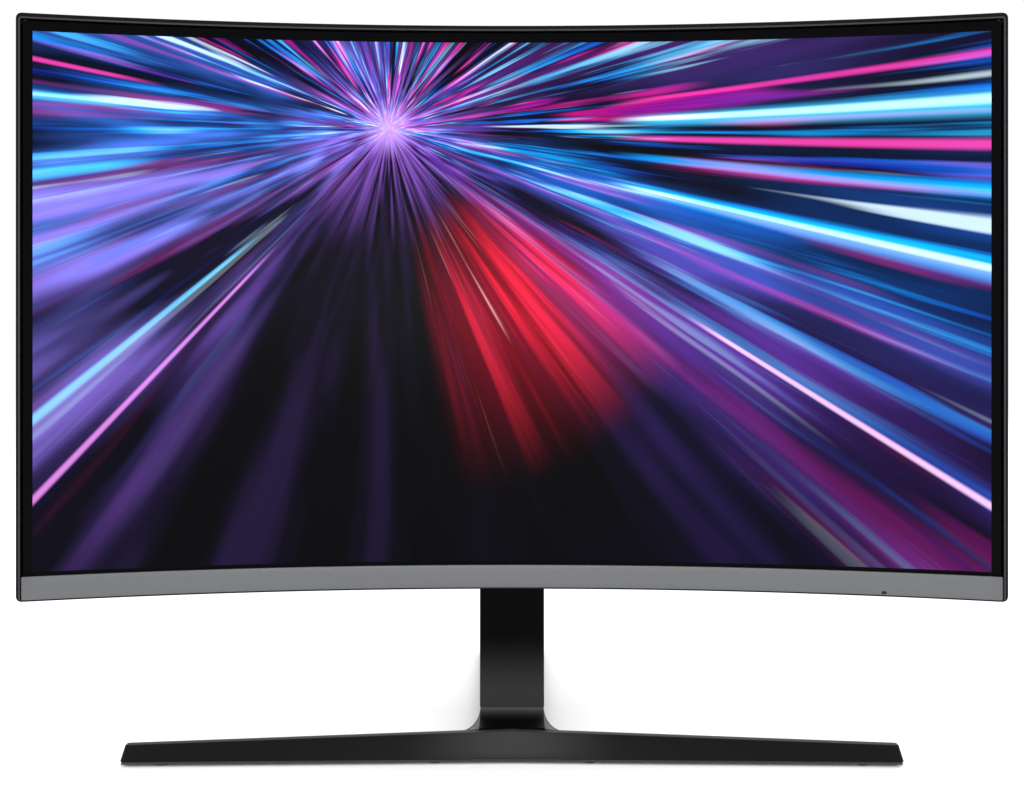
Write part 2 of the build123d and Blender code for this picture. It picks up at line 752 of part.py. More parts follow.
with BuildPart() as jog_switch_housing:
    with BuildSketch(jog_sketch_plane(jog_floor)):
        RectangleRounded(jog_housing, jog_housing, 1)
    extrude(amount=jog_top - jog_floor)
    with BuildSketch(jog_sketch_plane(jog_floor + 1)):
        Rectangle(jog_housing - 2 * jog_housing_wall, jog_housing - 2 * jog_housing_wall)
    extrude(amount=jog_top - jog_floor, mode=Mode.SUBTRACT)
    # bearing holes for the outer frame, along the curve
    cross = jog_sketch_plane(jog_pivot)
    start = cross.origin - cross.x_dir * jog_housing
    with BuildSketch(Plane(origin=start, x_dir=cross.z_dir, z_dir=cross.x_dir)):
        Circle(jog_pin_radius + jog_pin_fit)
    extrude(amount=2 * jog_housing, mode=Mode.SUBTRACT)

with BuildPart() as jog_gimbal:
    with BuildSketch(jog_sketch_plane(jog_pivot - jog_frame_thick / 2)):
        Rectangle(gimbal_outer, gimbal_outer)
        Rectangle(gimbal_inner, gimbal_inner, mode=Mode.SUBTRACT)
    extrude(amount=jog_frame_thick)
    for turn in (-1, 1):
        start = cross.origin + cross.x_dir * turn * (gimbal_outer / 2 - jog_pin_root)
        with BuildSketch(Plane(origin=start, x_dir=cross.z_dir, z_dir=cross.x_dir * turn)):
            Circle(jog_pin_radius)
        extrude(amount=jog_pin_root + jog_frame_gap + 1.4)
    start = cross.origin - cross.y_dir * (gimbal_outer / 2 + 1)
    with BuildSketch(Plane(origin=start, x_dir=cross.x_dir, z_dir=cross.y_dir)):
        Circle(jog_pin_radius + jog_pin_fit)
    extrude(amount=gimbal_outer + 2, mode=Mode.SUBTRACT)

with BuildPart() as jog_rocker:
    with BuildSketch(jog_sketch_plane(jog_pivot - jog_frame_thick / 2)):
        Rectangle(rocker_size, rocker_size)
    extrude(amount=jog_frame_thick)
    for turn in (-1, 1):
        start = cross.origin + cross.y_dir * turn * (rocker_size / 2 - jog_pin_root)
        with BuildSketch(Plane(origin=start, x_dir=cross.x_dir, z_dir=cross.y_dir * turn)):
            Circle(jog_pin_radius)
        extrude(amount=jog_pin_root + jog_frame_gap + 0.9)
    with BuildSketch(jog_sketch_plane(jog_pivot + jog_frame_thick / 2)):
        Circle(jog_stem_radius)
    extrude(amount=jog_stem_length)

with BuildPart() as jog_cap:
    with BuildSketch(jog_sketch_plane(jog_pivot + 1.5)):
        Circle(jog_sleeve_radius)
    extrude(amount=cover_depth - jog_pivot - 2.5)
    with BuildSketch(jog_sketch_plane(cover_depth - 1.2)):
        Circle(jog_knob_radius)
    extrude(amount=jog_proud + 1.2)
    top_face = jog_cap.faces().sort_by(Axis(cross.origin, cross.z_dir))[-1]
    fillet(top_face.edges(), 0.9)
    with BuildSketch(jog_sketch_plane(jog_pivot + 1.4)):
        Circle(jog_stem_radius + jog_stem_room)
    extrude(amount=jog_stem_length + 0.2, mode=Mode.SUBTRACT)


# ---- stand: neck
def neck_outline(inset, low):
    # side view of the neck: straight sides and a round top about the tilt axis
    half = neck_thick / 2 - inset
    with BuildSketch() as outline:
        with Locations((0, (low + hinge_z) / 2)):
            Rectangle(2 * half, hinge_z - low)
        with Locations((0, hinge_z)):
            Circle(half)
    return outline.sketch


foot_screw_points = [(-foot_screw_spacing / 2, 0), (foot_screw_spacing / 2, 0)]
neck_screw_heights = (neck_foot + 40, hinge_z - 45)
core_foot = plate_high + frame_thick
core_gap = 0.3

with BuildPart() as neck_shell:
    with BuildSketch(Plane.YZ.offset(-neck_width / 2)):
        add(neck_outline(0, neck_foot))
    extrude(amount=neck_width)
    long_edges = neck_shell.edges().filter_by(Axis.Z)
    fillet(long_edges, 1.2)
    with BuildSketch(Plane.YZ.offset(-neck_width / 2 + neck_wall)):
        add(neck_outline(neck_wall, neck_foot - 1))
    extrude(amount=neck_width - 2 * neck_wall, mode=Mode.SUBTRACT)
    with BuildSketch(Plane.YZ.offset(-neck_width)):
        with Locations((0, hinge_z)):
            Circle(shaft_radius + shaft_clearance)
    extrude(amount=2 * neck_width, mode=Mode.SUBTRACT)

with BuildPart() as neck_front_cover:
    add(neck_shell.part)
    split(bisect_by=Plane.XZ, keep=Keep.TOP)

with BuildPart() as neck_rear_cover:
    add(neck_shell.part)
    split(bisect_by=Plane.XZ, keep=Keep.BOTTOM)
    with BuildSketch(back_plane(neck_thick / 2)):
        with Locations(*[(0, z) for z in neck_screw_heights]):
            Circle(screw_radius + screw_room)
    extrude(amount=-neck_wall - 1, mode=Mode.SUBTRACT)
    with BuildSketch(back_plane(neck_thick / 2)):
        with Locations(*[(0, z) for z in neck_screw_heights]):
            Circle(screw_head_radius + screw_room)
    extrude(amount=-screw_recess, mode=Mode.SUBTRACT)

with BuildPart() as neck_core:
    with BuildSketch(Plane.YZ.offset(-core_width / 2)):
        add(neck_outline((neck_thick - core_thick) / 2, core_foot))
    extrude(amount=core_width)
    with BuildSketch(Plane.XY.offset(core_foot + 12)):
        Rectangle(core_width - 2 * core_wall, core_thick - 2 * core_wall)
    extrude(amount=hinge_z - 14 - core_foot - 12, mode=Mode.SUBTRACT)
    with BuildSketch(Plane.YZ.offset(-core_width)):
        with Locations((0, hinge_z)):
            Circle(shaft_radius + shaft_fit)
    extrude(amount=2 * core_width, mode=Mode.SUBTRACT)
    with BuildSketch(Plane.XY.offset(core_foot)):
        with Locations(*foot_screw_points):
            Circle(foot_screw_radius)
    extrude(amount=foot_screw_grip, mode=Mode.SUBTRACT)
    with BuildSketch(back_plane(core_thick / 2)):
        with Locations(*[(0, z) for z in neck_screw_heights]):
            Circle(screw_radius)
    extrude(amount=-core_wall, mode=Mode.SUBTRACT)

with BuildPart() as neck_screws:
    with BuildSketch(back_plane(neck_thick / 2 - screw_recess)):
        with Locations(*[(0, z) for z in neck_screw_heights]):
            Circle(screw_head_radius)
    extrude(amount=screw_recess)
    with BuildSketch(back_plane(neck_thick / 2 - screw_recess)):
        with Locations(*[(0, z) for z in neck_screw_heights]):
            Circle(screw_radius)
    extrude(amount=-(neck_thick / 2 - screw_recess - core_thick / 2 + core_wall))


# ---- stand: base
def wing_value(middle, end, x):
    return middle + (end - middle) * abs(x) / base_half


def wing_front(x):
    return wing_value(base_front_y, base_front_y - wing_sweep, x)


def wing_rear(x):
    return wing_front(x) + wing_value(bar_depth_middle, bar_depth_end, x)


def wing_section(x, inset, low, stretch=1.0):
    # side view of the bar at x, every side moved inwards by the inset
    front, rear = wing_front(x), wing_rear(x)
    top = wing_value(bar_top_middle, bar_top_end, x)
    back_top = wing_value(bar_rear_middle, bar_rear_end, x)
    points = [(front + inset, low), (front + bar_lean + inset * 0.8, top - inset),
              (front + bar_lean + bar_land - inset * 0.3, top - bar_land_fall - inset),
              (rear - inset * 2, back_top - inset * 0.5), (rear - inset, low)]
    return [(y, z * stretch) for y, z in points]


def wing(inset, low, reach, slant):
    # one side of the bar, lofted from the middle to its end
    lean = (1 + slant**2) ** 0.5
    with BuildPart() as bar:
        with BuildSketch(Plane.YZ):
            with BuildLine():
                Polyline(*wing_section(0, inset, low), close=True)
            make_face()
        with BuildSketch(Plane(origin=(reach, 0, 0), x_dir=(0, 1, 0), z_dir=(1, 0, slant))):
            with BuildLine():
                Polyline(*wing_section(reach, inset, low, lean), close=True)
            make_face()
        loft(ruled=True)
    return bar.part


def stem_block(inset, low):
    # tapered bar running back from the hub
    with BuildPart() as stem:
        with BuildSketch(Plane.XY.offset(low)):
            with BuildLine():
                end_y = stem_end_y - inset
                Polyline((-stem_half_front + inset, 0), (-stem_half_rear + inset, end_y),
                         (stem_half_rear - inset, end_y), (stem_half_front - inset, 0), close=True)
            make_face()
        extrude(amount=stem_top_front - low)
        with BuildSketch(Plane.YZ.offset(-stem_half_rear - 1)):
            with BuildLine():
                Polyline((-1, low - 1), (-1, stem_top_front - inset), (hub_rear_y, stem_top_front - inset),
                         (stem_end_y + 1, stem_top_rear - inset), (stem_end_y + 1, low - 1), close=True)
            make_face()
        extrude(amount=2 * stem_half_rear + 2, mode=Mode.INTERSECT)
    return stem.part


hub_half = neck_width / 2 - 0.3
tongue_front = base_front_y + bar_lean
cavity_end = 226.0
plate_points = [(0, wing_front(0)), (base_half, wing_front(base_half)),
                (base_half, wing_rear(base_half)), (stem_half_front, wing_rear(stem_half_front)),
                (stem_half_rear, stem_end_y), (0, stem_end_y)]

base_screw_points = [(0, stem_end_y - 24), (-16, 40), (16, 40)]
for side in (-1, 1):
    for x in (70, 205):
        base_screw_points.append((side * x, wing_front(x) + bar_lean + bar_land))


def sweep_radius(rise):
    # arc that starts level and has climbed by the rise after the tongue's reach
    return (tongue_reach**2 + rise**2) / (2 * rise)


def slope_height(y):
    # top of the bar's rear slope beside the neck
    start_y = wing_front(hub_half) + bar_lean + bar_land
    top = wing_value(bar_top_middle, bar_top_end, hub_half) - bar_land_fall
    bottom = wing_value(bar_rear_middle, bar_rear_end, hub_half)
    return top + (bottom - top) * (y - start_y) / (wing_rear(hub_half) - start_y)


def flare_block(*stations):
    # solid under a concave quarter curve beside the foot, lofted between two stations
    share = 1 - cos(pi / 4)
    inner = hub_half - 1
    with BuildPart() as flare:
        for y, width, low, high in stations:
            edge = hub_half + width
            with BuildSketch(Plane.XZ.offset(-y)):
                with BuildLine():
                    Polyline((hub_half, high), (inner, high), (inner, plate_high), (edge, plate_high),
                             (edge, low))
                    middle = (hub_half + share * width, low + share * (high - low))
                    ThreePointArc((edge, low), middle, (hub_half, high))
                make_face()
        loft(ruled=True)
    return flare.part


land_rear = wing_front(hub_half) + bar_lean + bar_land
flare_stations = [
    (land_rear, flare_width, slope_height(land_rear), bar_top_middle),
    (-neck_thick / 2, flare_width, slope_height(-neck_thick / 2), neck_foot),
    (neck_thick / 2, flare_width * 0.85, plate_high + 2, neck_foot),
    (neck_thick / 2 + tongue_reach + 4, 2.5, plate_high + 1, stem_top_front - 0.5),
]


def spine_outline(grow):
    # plan of the steel spine: a bar with a tail running back inside the stem
    reach = cavity_end - 4
    back_room = 3 * base_wall + 4
    half_front = stem_half_front - base_wall - 1
    points = [(0, wing_front(0) + base_wall + 3), (reach, wing_front(reach) + base_wall + 3),
              (reach, wing_rear(reach) - back_room), (half_front + 7, wing_rear(half_front) - back_room),
              (half_front, wing_rear(0)), (half_front, hub_rear_y),
              (stem_half_rear - base_wall - 3, stem_end_y - base_wall - 6), (0, stem_end_y - base_wall - 6)]
    with BuildSketch() as outline:
        with BuildLine():
            half_line = Polyline(*points)
            mirror(half_line, about=Plane.YZ)
        make_face()
        if grow:
            offset(amount=grow, kind=Kind.INTERSECTION)
    return outline.sketch


with BuildPart() as base_cover:
    right_wing = wing(0, plate_high, base_half, end_slant)
    add(right_wing)
    add(mirror(right_wing, about=Plane.YZ, mode=Mode.PRIVATE))
    add(stem_block(0, plate_high))
    # foot of the neck: a block that sweeps down to the front edge and back to the stem
    with BuildSketch(Plane.YZ.offset(-hub_half)):
        with BuildLine():
            front_foot = (-neck_thick / 2 - tongue_reach, bar_top_middle)
            rear_foot = (neck_thick / 2 + tongue_reach, stem_top_front)
            Polyline((rear_foot[0], plate_high), (tongue_front, plate_high), (tongue_front, bar_top_middle),
                     front_foot)
            RadiusArc(front_foot, (-neck_thick / 2, neck_foot), sweep_radius(neck_foot - bar_top_middle))
            Line((-neck_thick / 2, neck_foot), (neck_thick / 2, neck_foot))
            RadiusArc((neck_thick / 2, neck_foot), rear_foot, sweep_radius(neck_foot - stem_top_front))
            Line(rear_foot, (rear_foot[0], plate_high))
        make_face()
    extrude(amount=2 * hub_half)
    # concave flares that carry its sides down to the bar and the stem
    for near, far in zip(flare_stations, flare_stations[1:]):
        flare = flare_block(near, far)
        add(flare)
        add(mirror(flare, about=Plane.YZ, mode=Mode.PRIVATE))
    # hollow inside, and the well for the steel core
    inner_wing = wing(base_wall, plate_high - 1, cavity_end, 0)
    add(inner_wing, mode=Mode.SUBTRACT)
    add(mirror(inner_wing, about=Plane.YZ, mode=Mode.PRIVATE), mode=Mode.SUBTRACT)
    add(stem_block(base_wall, plate_high - 1), mode=Mode.SUBTRACT)
    add(upright_box(-core_width / 2 - core_gap, core_width / 2 + core_gap, -core_thick / 2 - core_gap,
                    core_thick / 2 + core_gap, plate_high - 1, neck_foot + 1), mode=Mode.SUBTRACT)
    with BuildSketch(Plane.XY.offset(plate_high - 1)):
        add(spine_outline(frame_gap))
    extrude(amount=1 + frame_thick + frame_gap, mode=Mode.SUBTRACT)

with BuildPart() as base_plate:
    with BuildSketch(Plane.XY.offset(plate_low)):
        with BuildLine():
            half_line = Polyline(*plate_points)
            mirror(half_line, about=Plane.YZ)
        make_face()
        offset(amount=-plate_inset, kind=Kind.INTERSECTION)
    extrude(amount=plate_high - plate_low)
    # holes for the neck's screws and for the cover screws
    with BuildSketch(Plane.XY.offset(plate_low)):
        with Locations(*foot_screw_points):
            Circle(foot_screw_head + 0.5)
        with Locations(*base_screw_points):
            Circle(screw_radius + screw_room)
    extrude(amount=plate_high - plate_low, mode=Mode.SUBTRACT)

with BuildPart() as base_frame:
    # steel spine that carries the neck and stiffens the bar
    with BuildSketch(Plane.XY.offset(plate_high)):
        add(spine_outline(0))
        with Locations(*foot_screw_points):
            Circle(foot_screw_radius, mode=Mode.SUBTRACT)
        with Locations(*base_screw_points):
            Circle(screw_radius, mode=Mode.SUBTRACT)
    extrude(amount=frame_thick)

with BuildPart() as neck_foot_screws:
    with BuildSketch(Plane.XY.offset(plate_low + foot_screw_drop)):
        with Locations(*foot_screw_points):
            Circle(foot_screw_head)
    extrude(amount=plate_high - plate_low - foot_screw_drop)
    with BuildSketch(Plane.XY.offset(plate_high)):
        with Locations(*foot_screw_points):
            Circle(foot_screw_radius)
    extrude(amount=core_foot - plate_high + foot_screw_grip)
    with BuildSketch(Plane.XY.offset(plate_low + foot_screw_drop)):
        with Locations(*foot_screw_points):
            Rectangle(1.6 * foot_screw_head, 1.0)
            Rectangle(1.0, 1.6 * foot_screw_head)
    extrude(amount=screw_recess, mode=Mode.SUBTRACT)

with BuildPart() as base_screws:
    with BuildSketch(Plane.XY.offset(plate_low - screw_recess)):
        with Locations(*base_screw_points):
            Circle(screw_head_radius)
    extrude(amount=screw_recess)
    with BuildSketch(Plane.XY.offset(plate_low)):
        with Locations(*base_screw_points):
            Circle(screw_radius)
    extrude(amount=plate_high - plate_low + frame_thick)

foot_points = [(0, 0), (0, stem_end_y - 12)]
for side in (-1, 1):
    for x in (50, 225):
        foot_points.append((side * x, wing_front(x) + foot_radius + plate_inset + 2))

with BuildPart() as rubber_feet:
    with BuildSketch(Plane.XY):
        with Locations(*foot_points):
            Circle(foot_radius)
    extrude(amount=plate_low)

for label, node in list(globals().items()):
    if isinstance(node, BuildPart) and label != "neck_shell":
        save(node, label)
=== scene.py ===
# curved desktop monitor: finished surfaces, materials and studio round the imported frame
import bmesh
import bpy
import json
import math
import numpy as np
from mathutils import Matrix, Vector


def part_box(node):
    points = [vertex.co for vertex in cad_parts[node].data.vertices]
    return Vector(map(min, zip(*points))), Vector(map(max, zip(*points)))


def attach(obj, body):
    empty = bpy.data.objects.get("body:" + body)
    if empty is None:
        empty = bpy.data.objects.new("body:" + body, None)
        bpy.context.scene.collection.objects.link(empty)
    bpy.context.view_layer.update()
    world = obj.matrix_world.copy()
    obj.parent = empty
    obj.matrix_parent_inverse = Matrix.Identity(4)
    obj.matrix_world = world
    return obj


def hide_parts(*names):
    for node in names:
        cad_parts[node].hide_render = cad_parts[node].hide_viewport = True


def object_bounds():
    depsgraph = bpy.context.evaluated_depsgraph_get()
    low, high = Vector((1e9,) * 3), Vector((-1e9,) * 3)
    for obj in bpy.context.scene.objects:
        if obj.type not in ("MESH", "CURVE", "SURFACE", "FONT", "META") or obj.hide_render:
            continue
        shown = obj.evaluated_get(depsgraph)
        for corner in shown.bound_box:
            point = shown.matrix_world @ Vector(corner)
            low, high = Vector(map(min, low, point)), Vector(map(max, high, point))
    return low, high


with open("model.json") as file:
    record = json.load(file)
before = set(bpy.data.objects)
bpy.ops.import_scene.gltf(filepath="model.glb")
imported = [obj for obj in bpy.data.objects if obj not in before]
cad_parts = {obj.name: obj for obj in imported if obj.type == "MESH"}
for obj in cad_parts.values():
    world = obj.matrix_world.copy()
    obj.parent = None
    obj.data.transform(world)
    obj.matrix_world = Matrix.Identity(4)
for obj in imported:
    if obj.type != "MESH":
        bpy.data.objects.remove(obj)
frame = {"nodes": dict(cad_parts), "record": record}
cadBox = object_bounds()
print("frame loaded")

mm = 0.001
scene = bpy.context.scene

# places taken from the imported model
panelLow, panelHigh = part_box("lcd_cell")
frameLow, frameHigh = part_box("front_frame")
chinLow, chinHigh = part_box("chin_trim")
frontCoverLow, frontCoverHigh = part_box("neck_front_cover")
baseLow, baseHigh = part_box("base_cover")
headMid = (frameLow.z + frameHigh.z) / 2
neckSeam = frontCoverLow.z                      # where the neck meets its foot
footHalf = frontCoverHigh.x - 0.3 * mm          # half width of that foot

# ---------- display curve: every head piece is laid out as along, depth, height
curve = {
    "radius": 1.5,          # display surface, about an upright axis in front of it
    "panelThick": 1.6 * mm,
    "stations": 97,         # points along the curve
}
displayY = panelHigh.y - curve["panelThick"]
arcCentreY = displayY - curve["radius"]


def onCurve(along, depth, height):
    # the angle is along / radius, and the point is radius + depth from the upright axis at that angle
    r = curve["radius"] + depth
    angle = along / curve["radius"]
    along, depth, height = np.broadcast_arrays(along, depth, height)
    return np.stack([r * np.sin(angle), arcCentreY + r * np.cos(angle), height], axis=-1)


def halfArcOf(xMost, depth):
    # arc length that reaches xMost at this depth: radius times the arcsine of xMost / (radius + depth)
    return curve["radius"] * math.asin(xMost / (curve["radius"] + depth))


panelHalf = halfArcOf(panelHigh.x, curve["panelThick"])


# ---------- shared mesh work
def surfaceObject(name, points, wrapRows=False, wrapCols=False, capRows=False):
    # each cell of the grid of points is one face of a smooth mesh; a wrap joins the last row or
    # column to the first, and caps close the open ends of a tube
    rows, cols = points.shape[:2]
    i = np.arange(rows if wrapRows else rows - 1)
    j = np.arange(cols if wrapCols else cols - 1)
    a, b = np.meshgrid(i, j, indexing="ij")
    aNext, bNext = (a + 1) % rows, (b + 1) % cols
    quads = np.stack([a * cols + b, a * cols + bNext, aNext * cols + bNext, aNext * cols + b], axis=-1)
    faces = quads.reshape(-1, 4).tolist()
    if capRows:
        faces.append(list(range(cols))[::-1])
        faces.append(list(range((rows - 1) * cols, rows * cols)))
    mesh = bpy.data.meshes.new(name)
    mesh.from_pydata(points.reshape(-1, 3).tolist(), [], faces)
    mesh.validate()
    mesh.polygons.foreach_set("use_smooth", np.ones(len(mesh.polygons), dtype=bool))
    obj = bpy.data.objects.new(name, mesh)
    scene.collection.objects.link(obj)
    fixNormals(obj)
    return obj


def fixNormals(obj):
    # points nearer than a ten-thousandth of a millimetre become one, and every face turns outwards
    work = bmesh.new()
    work.from_mesh(obj.data)
    bmesh.ops.remove_doubles(work, verts=work.verts, dist=0.0001 * mm)
    bmesh.ops.recalc_face_normals(work, faces=work.faces)
    work.to_mesh(obj.data)
    work.free()


def roundedLoop(corners, radius, arcSteps=6, sideSteps=1):
    # each corner becomes a curve between the points one radius before and after it,
    # weighted (1-t)^2, 2t(1-t), t^2; the sides between are split evenly
    p = np.asarray(corners, float)
    r = np.broadcast_to(np.asarray(radius, float), (len(p),))[:, None]
    back = np.roll(p, 1, axis=0) - p
    ahead = np.roll(p, -1, axis=0) - p
    start = p + back / np.linalg.norm(back, axis=1, keepdims=True) * r
    end = p + ahead / np.linalg.norm(ahead, axis=1, keepdims=True) * r
    t = np.linspace(0, 1, arcSteps)[None, :, None]
    bend = (1 - t) ** 2 * start[:, None] + 2 * t * (1 - t) * p[:, None] + t ** 2 * end[:, None]
    nextStart = np.roll(start, -1, axis=0)
    s = (np.arange(1, sideSteps) / sideSteps)[None, :, None]
    side = end[:, None] * (1 - s) + nextStart[:, None] * s
    return np.concatenate([bend, side], axis=1).reshape(-1, 2)


def finish(obj, material, body, slot, *nodes, sharpAngle=None):
    # gives a piece its material and body and hides the nodes that it stands for; the slot is not used;
    # an edge whose faces turn by more than the sharp angle, in degrees, is shaded as a corner
    if material:
        obj.data.materials.append(material)
    if sharpAngle:
        obj.data.set_sharp_from_angle(angle=math.radians(sharpAngle))
    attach(obj, body)
    if nodes:
        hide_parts(*nodes)
    return obj


# ---------- camera
cameraPlace = {"distance": 0.685, "lens": 37.27, "sensor": 36, "shiftY": -0.0832, "clipStart": 0.01}
eye = bpy.data.objects.new("eye", bpy.data.cameras.new("eye"))
scene.collection.objects.link(eye)
eye.location = (0, displayY - cameraPlace["distance"], headMid)
eye.rotation_euler = (math.radians(90), 0, 0)
eye.data.lens = cameraPlace["lens"]
eye.data.sensor_width = cameraPlace["sensor"]
eye.data.shift_y = cameraPlace["shiftY"]
eye.data.clip_start = cameraPlace["clipStart"]
scene.camera = eye
print("camera placed")


# ---------- materials
class Nodes:
    # small helper that wires one material's node tree
    def __init__(self, name):
        self.material = bpy.data.materials.new(name)
        self.material.use_nodes = True
        self.tree = self.material.node_tree
        self.shader = self.tree.nodes["Principled BSDF"]
        self.object = self.add("ShaderNodeTexCoord").outputs["Object"]

    def add(self, kind, **values):
        node = self.tree.nodes.new(kind)
        for key, value in values.items():
            setattr(node, key, value)
        return node

    def feed(self, socket, value):
        if isinstance(value, bpy.types.NodeSocket):
            self.tree.links.new(value, socket)
        else:
            socket.default_value = value

    def calc(self, operation, a, b=0.0):
        node = self.add("ShaderNodeMath", operation=operation)
        self.feed(node.inputs[0], a)
        self.feed(node.inputs[1], b)
        return node.outputs[0]

    def noise(self, vector, scale, detail=2.0, rough=0.5, stretch=None):
        if stretch:
            shaped = self.add("ShaderNodeMapping")
            shaped.inputs["Scale"].default_value = stretch
            self.feed(shaped.inputs["Vector"], vector)
            vector = shaped.outputs[0]
        node = self.add("ShaderNodeTexNoise")
        self.feed(node.inputs["Vector"], vector)
        node.inputs["Scale"].default_value = scale
        node.inputs["Detail"].default_value = detail
        node.inputs["Roughness"].default_value = rough
        return node.outputs["Fac"]

    def ramp(self, value, stops, interpolation="LINEAR"):
        node = self.add("ShaderNodeValToRGB")
        self.feed(node.inputs[0], value)
        node.color_ramp.interpolation = interpolation
        marks = node.color_ramp.elements
        while len(marks) < len(stops):
            marks.new(0.5)
        for mark, (place, color) in zip(marks, stops):
            mark.position = place
            mark.color = (*color, 1)
        return node.outputs[0]

    def mapRange(self, value, low, high, toLow=0.0, toHigh=1.0, smooth=False):
        node = self.add("ShaderNodeMapRange")
        if smooth:
            node.interpolation_type = "SMOOTHSTEP"
        for socket, given in zip(node.inputs, (value, low, high, toLow, toHigh)):
            self.feed(socket, given)
        return node.outputs[0]

    def level(self, value, stops, interpolation="LINEAR"):
        # the same as a ramp, for stops that are grey levels
        return self.ramp(value, [(place, (grey,) * 3) for place, grey in stops], interpolation)

    def mix(self, factor, a, b, blend="MIX"):
        node = self.add("ShaderNodeMix", data_type="RGBA", blend_type=blend)
        self.feed(node.inputs[0], factor)
        for socket, value in ((node.inputs[6], a), (node.inputs[7], b)):
            self.feed(socket, (*value, 1) if isinstance(value, tuple) else value)
        return node.outputs[2]

    def bump(self, height, strength, distance):
        node = self.add("ShaderNodeBump")
        node.inputs["Strength"].default_value = strength
        node.inputs["Distance"].default_value = distance
        self.feed(node.inputs["Height"], height)
        self.tree.links.new(node.outputs[0], self.shader.inputs["Normal"])

    def set(self, **sockets):
        names = {"color": "Base Color", "roughness": "Roughness", "metallic": "Metallic",
                 "specular": "Specular IOR Level", "emission": "Emission Color",
                 "emissionStrength": "Emission Strength"}
        for key, value in sockets.items():
            self.feed(self.shader.inputs[names[key]], (*value, 1) if isinstance(value, tuple) else value)
        return self.material


def mouldedPlastic(name, color, rough, grain, grainDepth, spread=0.25, specular=0.5):
    # moulded plastic: the colour drifts by the spread with a slow noise, the gloss by an eighth with
    # six parts of the slow noise and four of the fine one, and the fine one is the surface's grain
    driftScale, glossDrift = 14, 0.12
    n = Nodes(name)
    slow = n.noise(n.object, driftScale, 3)
    fine = n.noise(n.object, grain, 2, 0.6)
    light = tuple(min(1, c * (1 + spread)) for c in color)
    dark = tuple(c * (1 - spread) for c in color)
    tone = n.mix(slow, dark, light)
    both = n.calc("ADD", n.calc("MULTIPLY", slow, 0.6), n.calc("MULTIPLY", fine, 0.4))
    gloss = n.mapRange(both, 0.3, 0.7, rough * (1 - glossDrift), rough * (1 + glossDrift))
    n.bump(fine, 0.35, grainDepth)
    return n.set(color=tone, roughness=gloss, specular=specular)


def sheetMetal(name, color, rough, grain=900, stretch=(1, 1, 12)):
    # rolled or brushed metal: a noise drawn out along one direction gives the scratches, their gloss
    # and four parts in ten of the tone, and a slow noise gives the other six
    driftScale, scratchDepth = 22, 0.02 * mm
    n = Nodes(name)
    scratch = n.noise(n.object, grain, 3, 0.7, stretch)
    slow = n.noise(n.object, driftScale, 3)
    both = n.calc("ADD", n.calc("MULTIPLY", scratch, 0.4), n.calc("MULTIPLY", slow, 0.6))
    tone = n.mix(both, tuple(c * 0.75 for c in color), tuple(min(1, c * 1.2) for c in color))
    gloss = n.mapRange(scratch, 0.3, 0.7, rough * 0.8, rough * 1.25)
    n.bump(scratch, 0.2, scratchDepth)
    return n.set(color=tone, roughness=gloss, metallic=1.0)


def chinSilver():
    # dark silver paint: a very fine noise picks between a dark and a light flake, and a slow one
    # takes up to a quarter of the way to the level tone
    paint = {
        "flakeScale": 5200, "driftScale": 9, "flakeDepth": 0.01 * mm,
        "dark": (0.098, 0.101, 0.106), "light": (0.150, 0.155, 0.163), "level": (0.112, 0.115, 0.121),
    }
    n = Nodes("chinSilver")
    flake = n.noise(n.object, paint["flakeScale"], 1, 0.5)
    slow = n.noise(n.object, paint["driftScale"], 2)
    tone = n.mix(n.mapRange(flake, 0.35, 0.65), paint["dark"], paint["light"])
    tone = n.mix(n.calc("MULTIPLY", slow, 0.25), tone, paint["level"])
    n.bump(flake, 0.12, paint["flakeDepth"])
    return n.set(color=tone, roughness=n.mapRange(flake, 0.3, 0.7, 0.36, 0.46), metallic=0.75)


def circuitBoard():
    # solder-masked board: the square distance to the nearest of a field of scattered points,
    # cut at a third of a cell, parts the darker mask from the lighter green over copper
    board = {"cells": 160, "mask": (0.012, 0.10, 0.035), "copper": (0.02, 0.17, 0.06)}
    n = Nodes("circuitBoard")
    cells = n.add("ShaderNodeTexVoronoi", distance="CHEBYCHEV", feature="F1")
    n.feed(cells.inputs["Vector"], n.object)
    cells.inputs["Scale"].default_value = board["cells"]
    tracks = n.mapRange(cells.outputs["Distance"], 0.3, 0.34)
    tone = n.mix(tracks, board["mask"], board["copper"])
    n.bump(tracks, 0.3, 0.04 * mm)
    return n.set(color=tone, roughness=0.42)


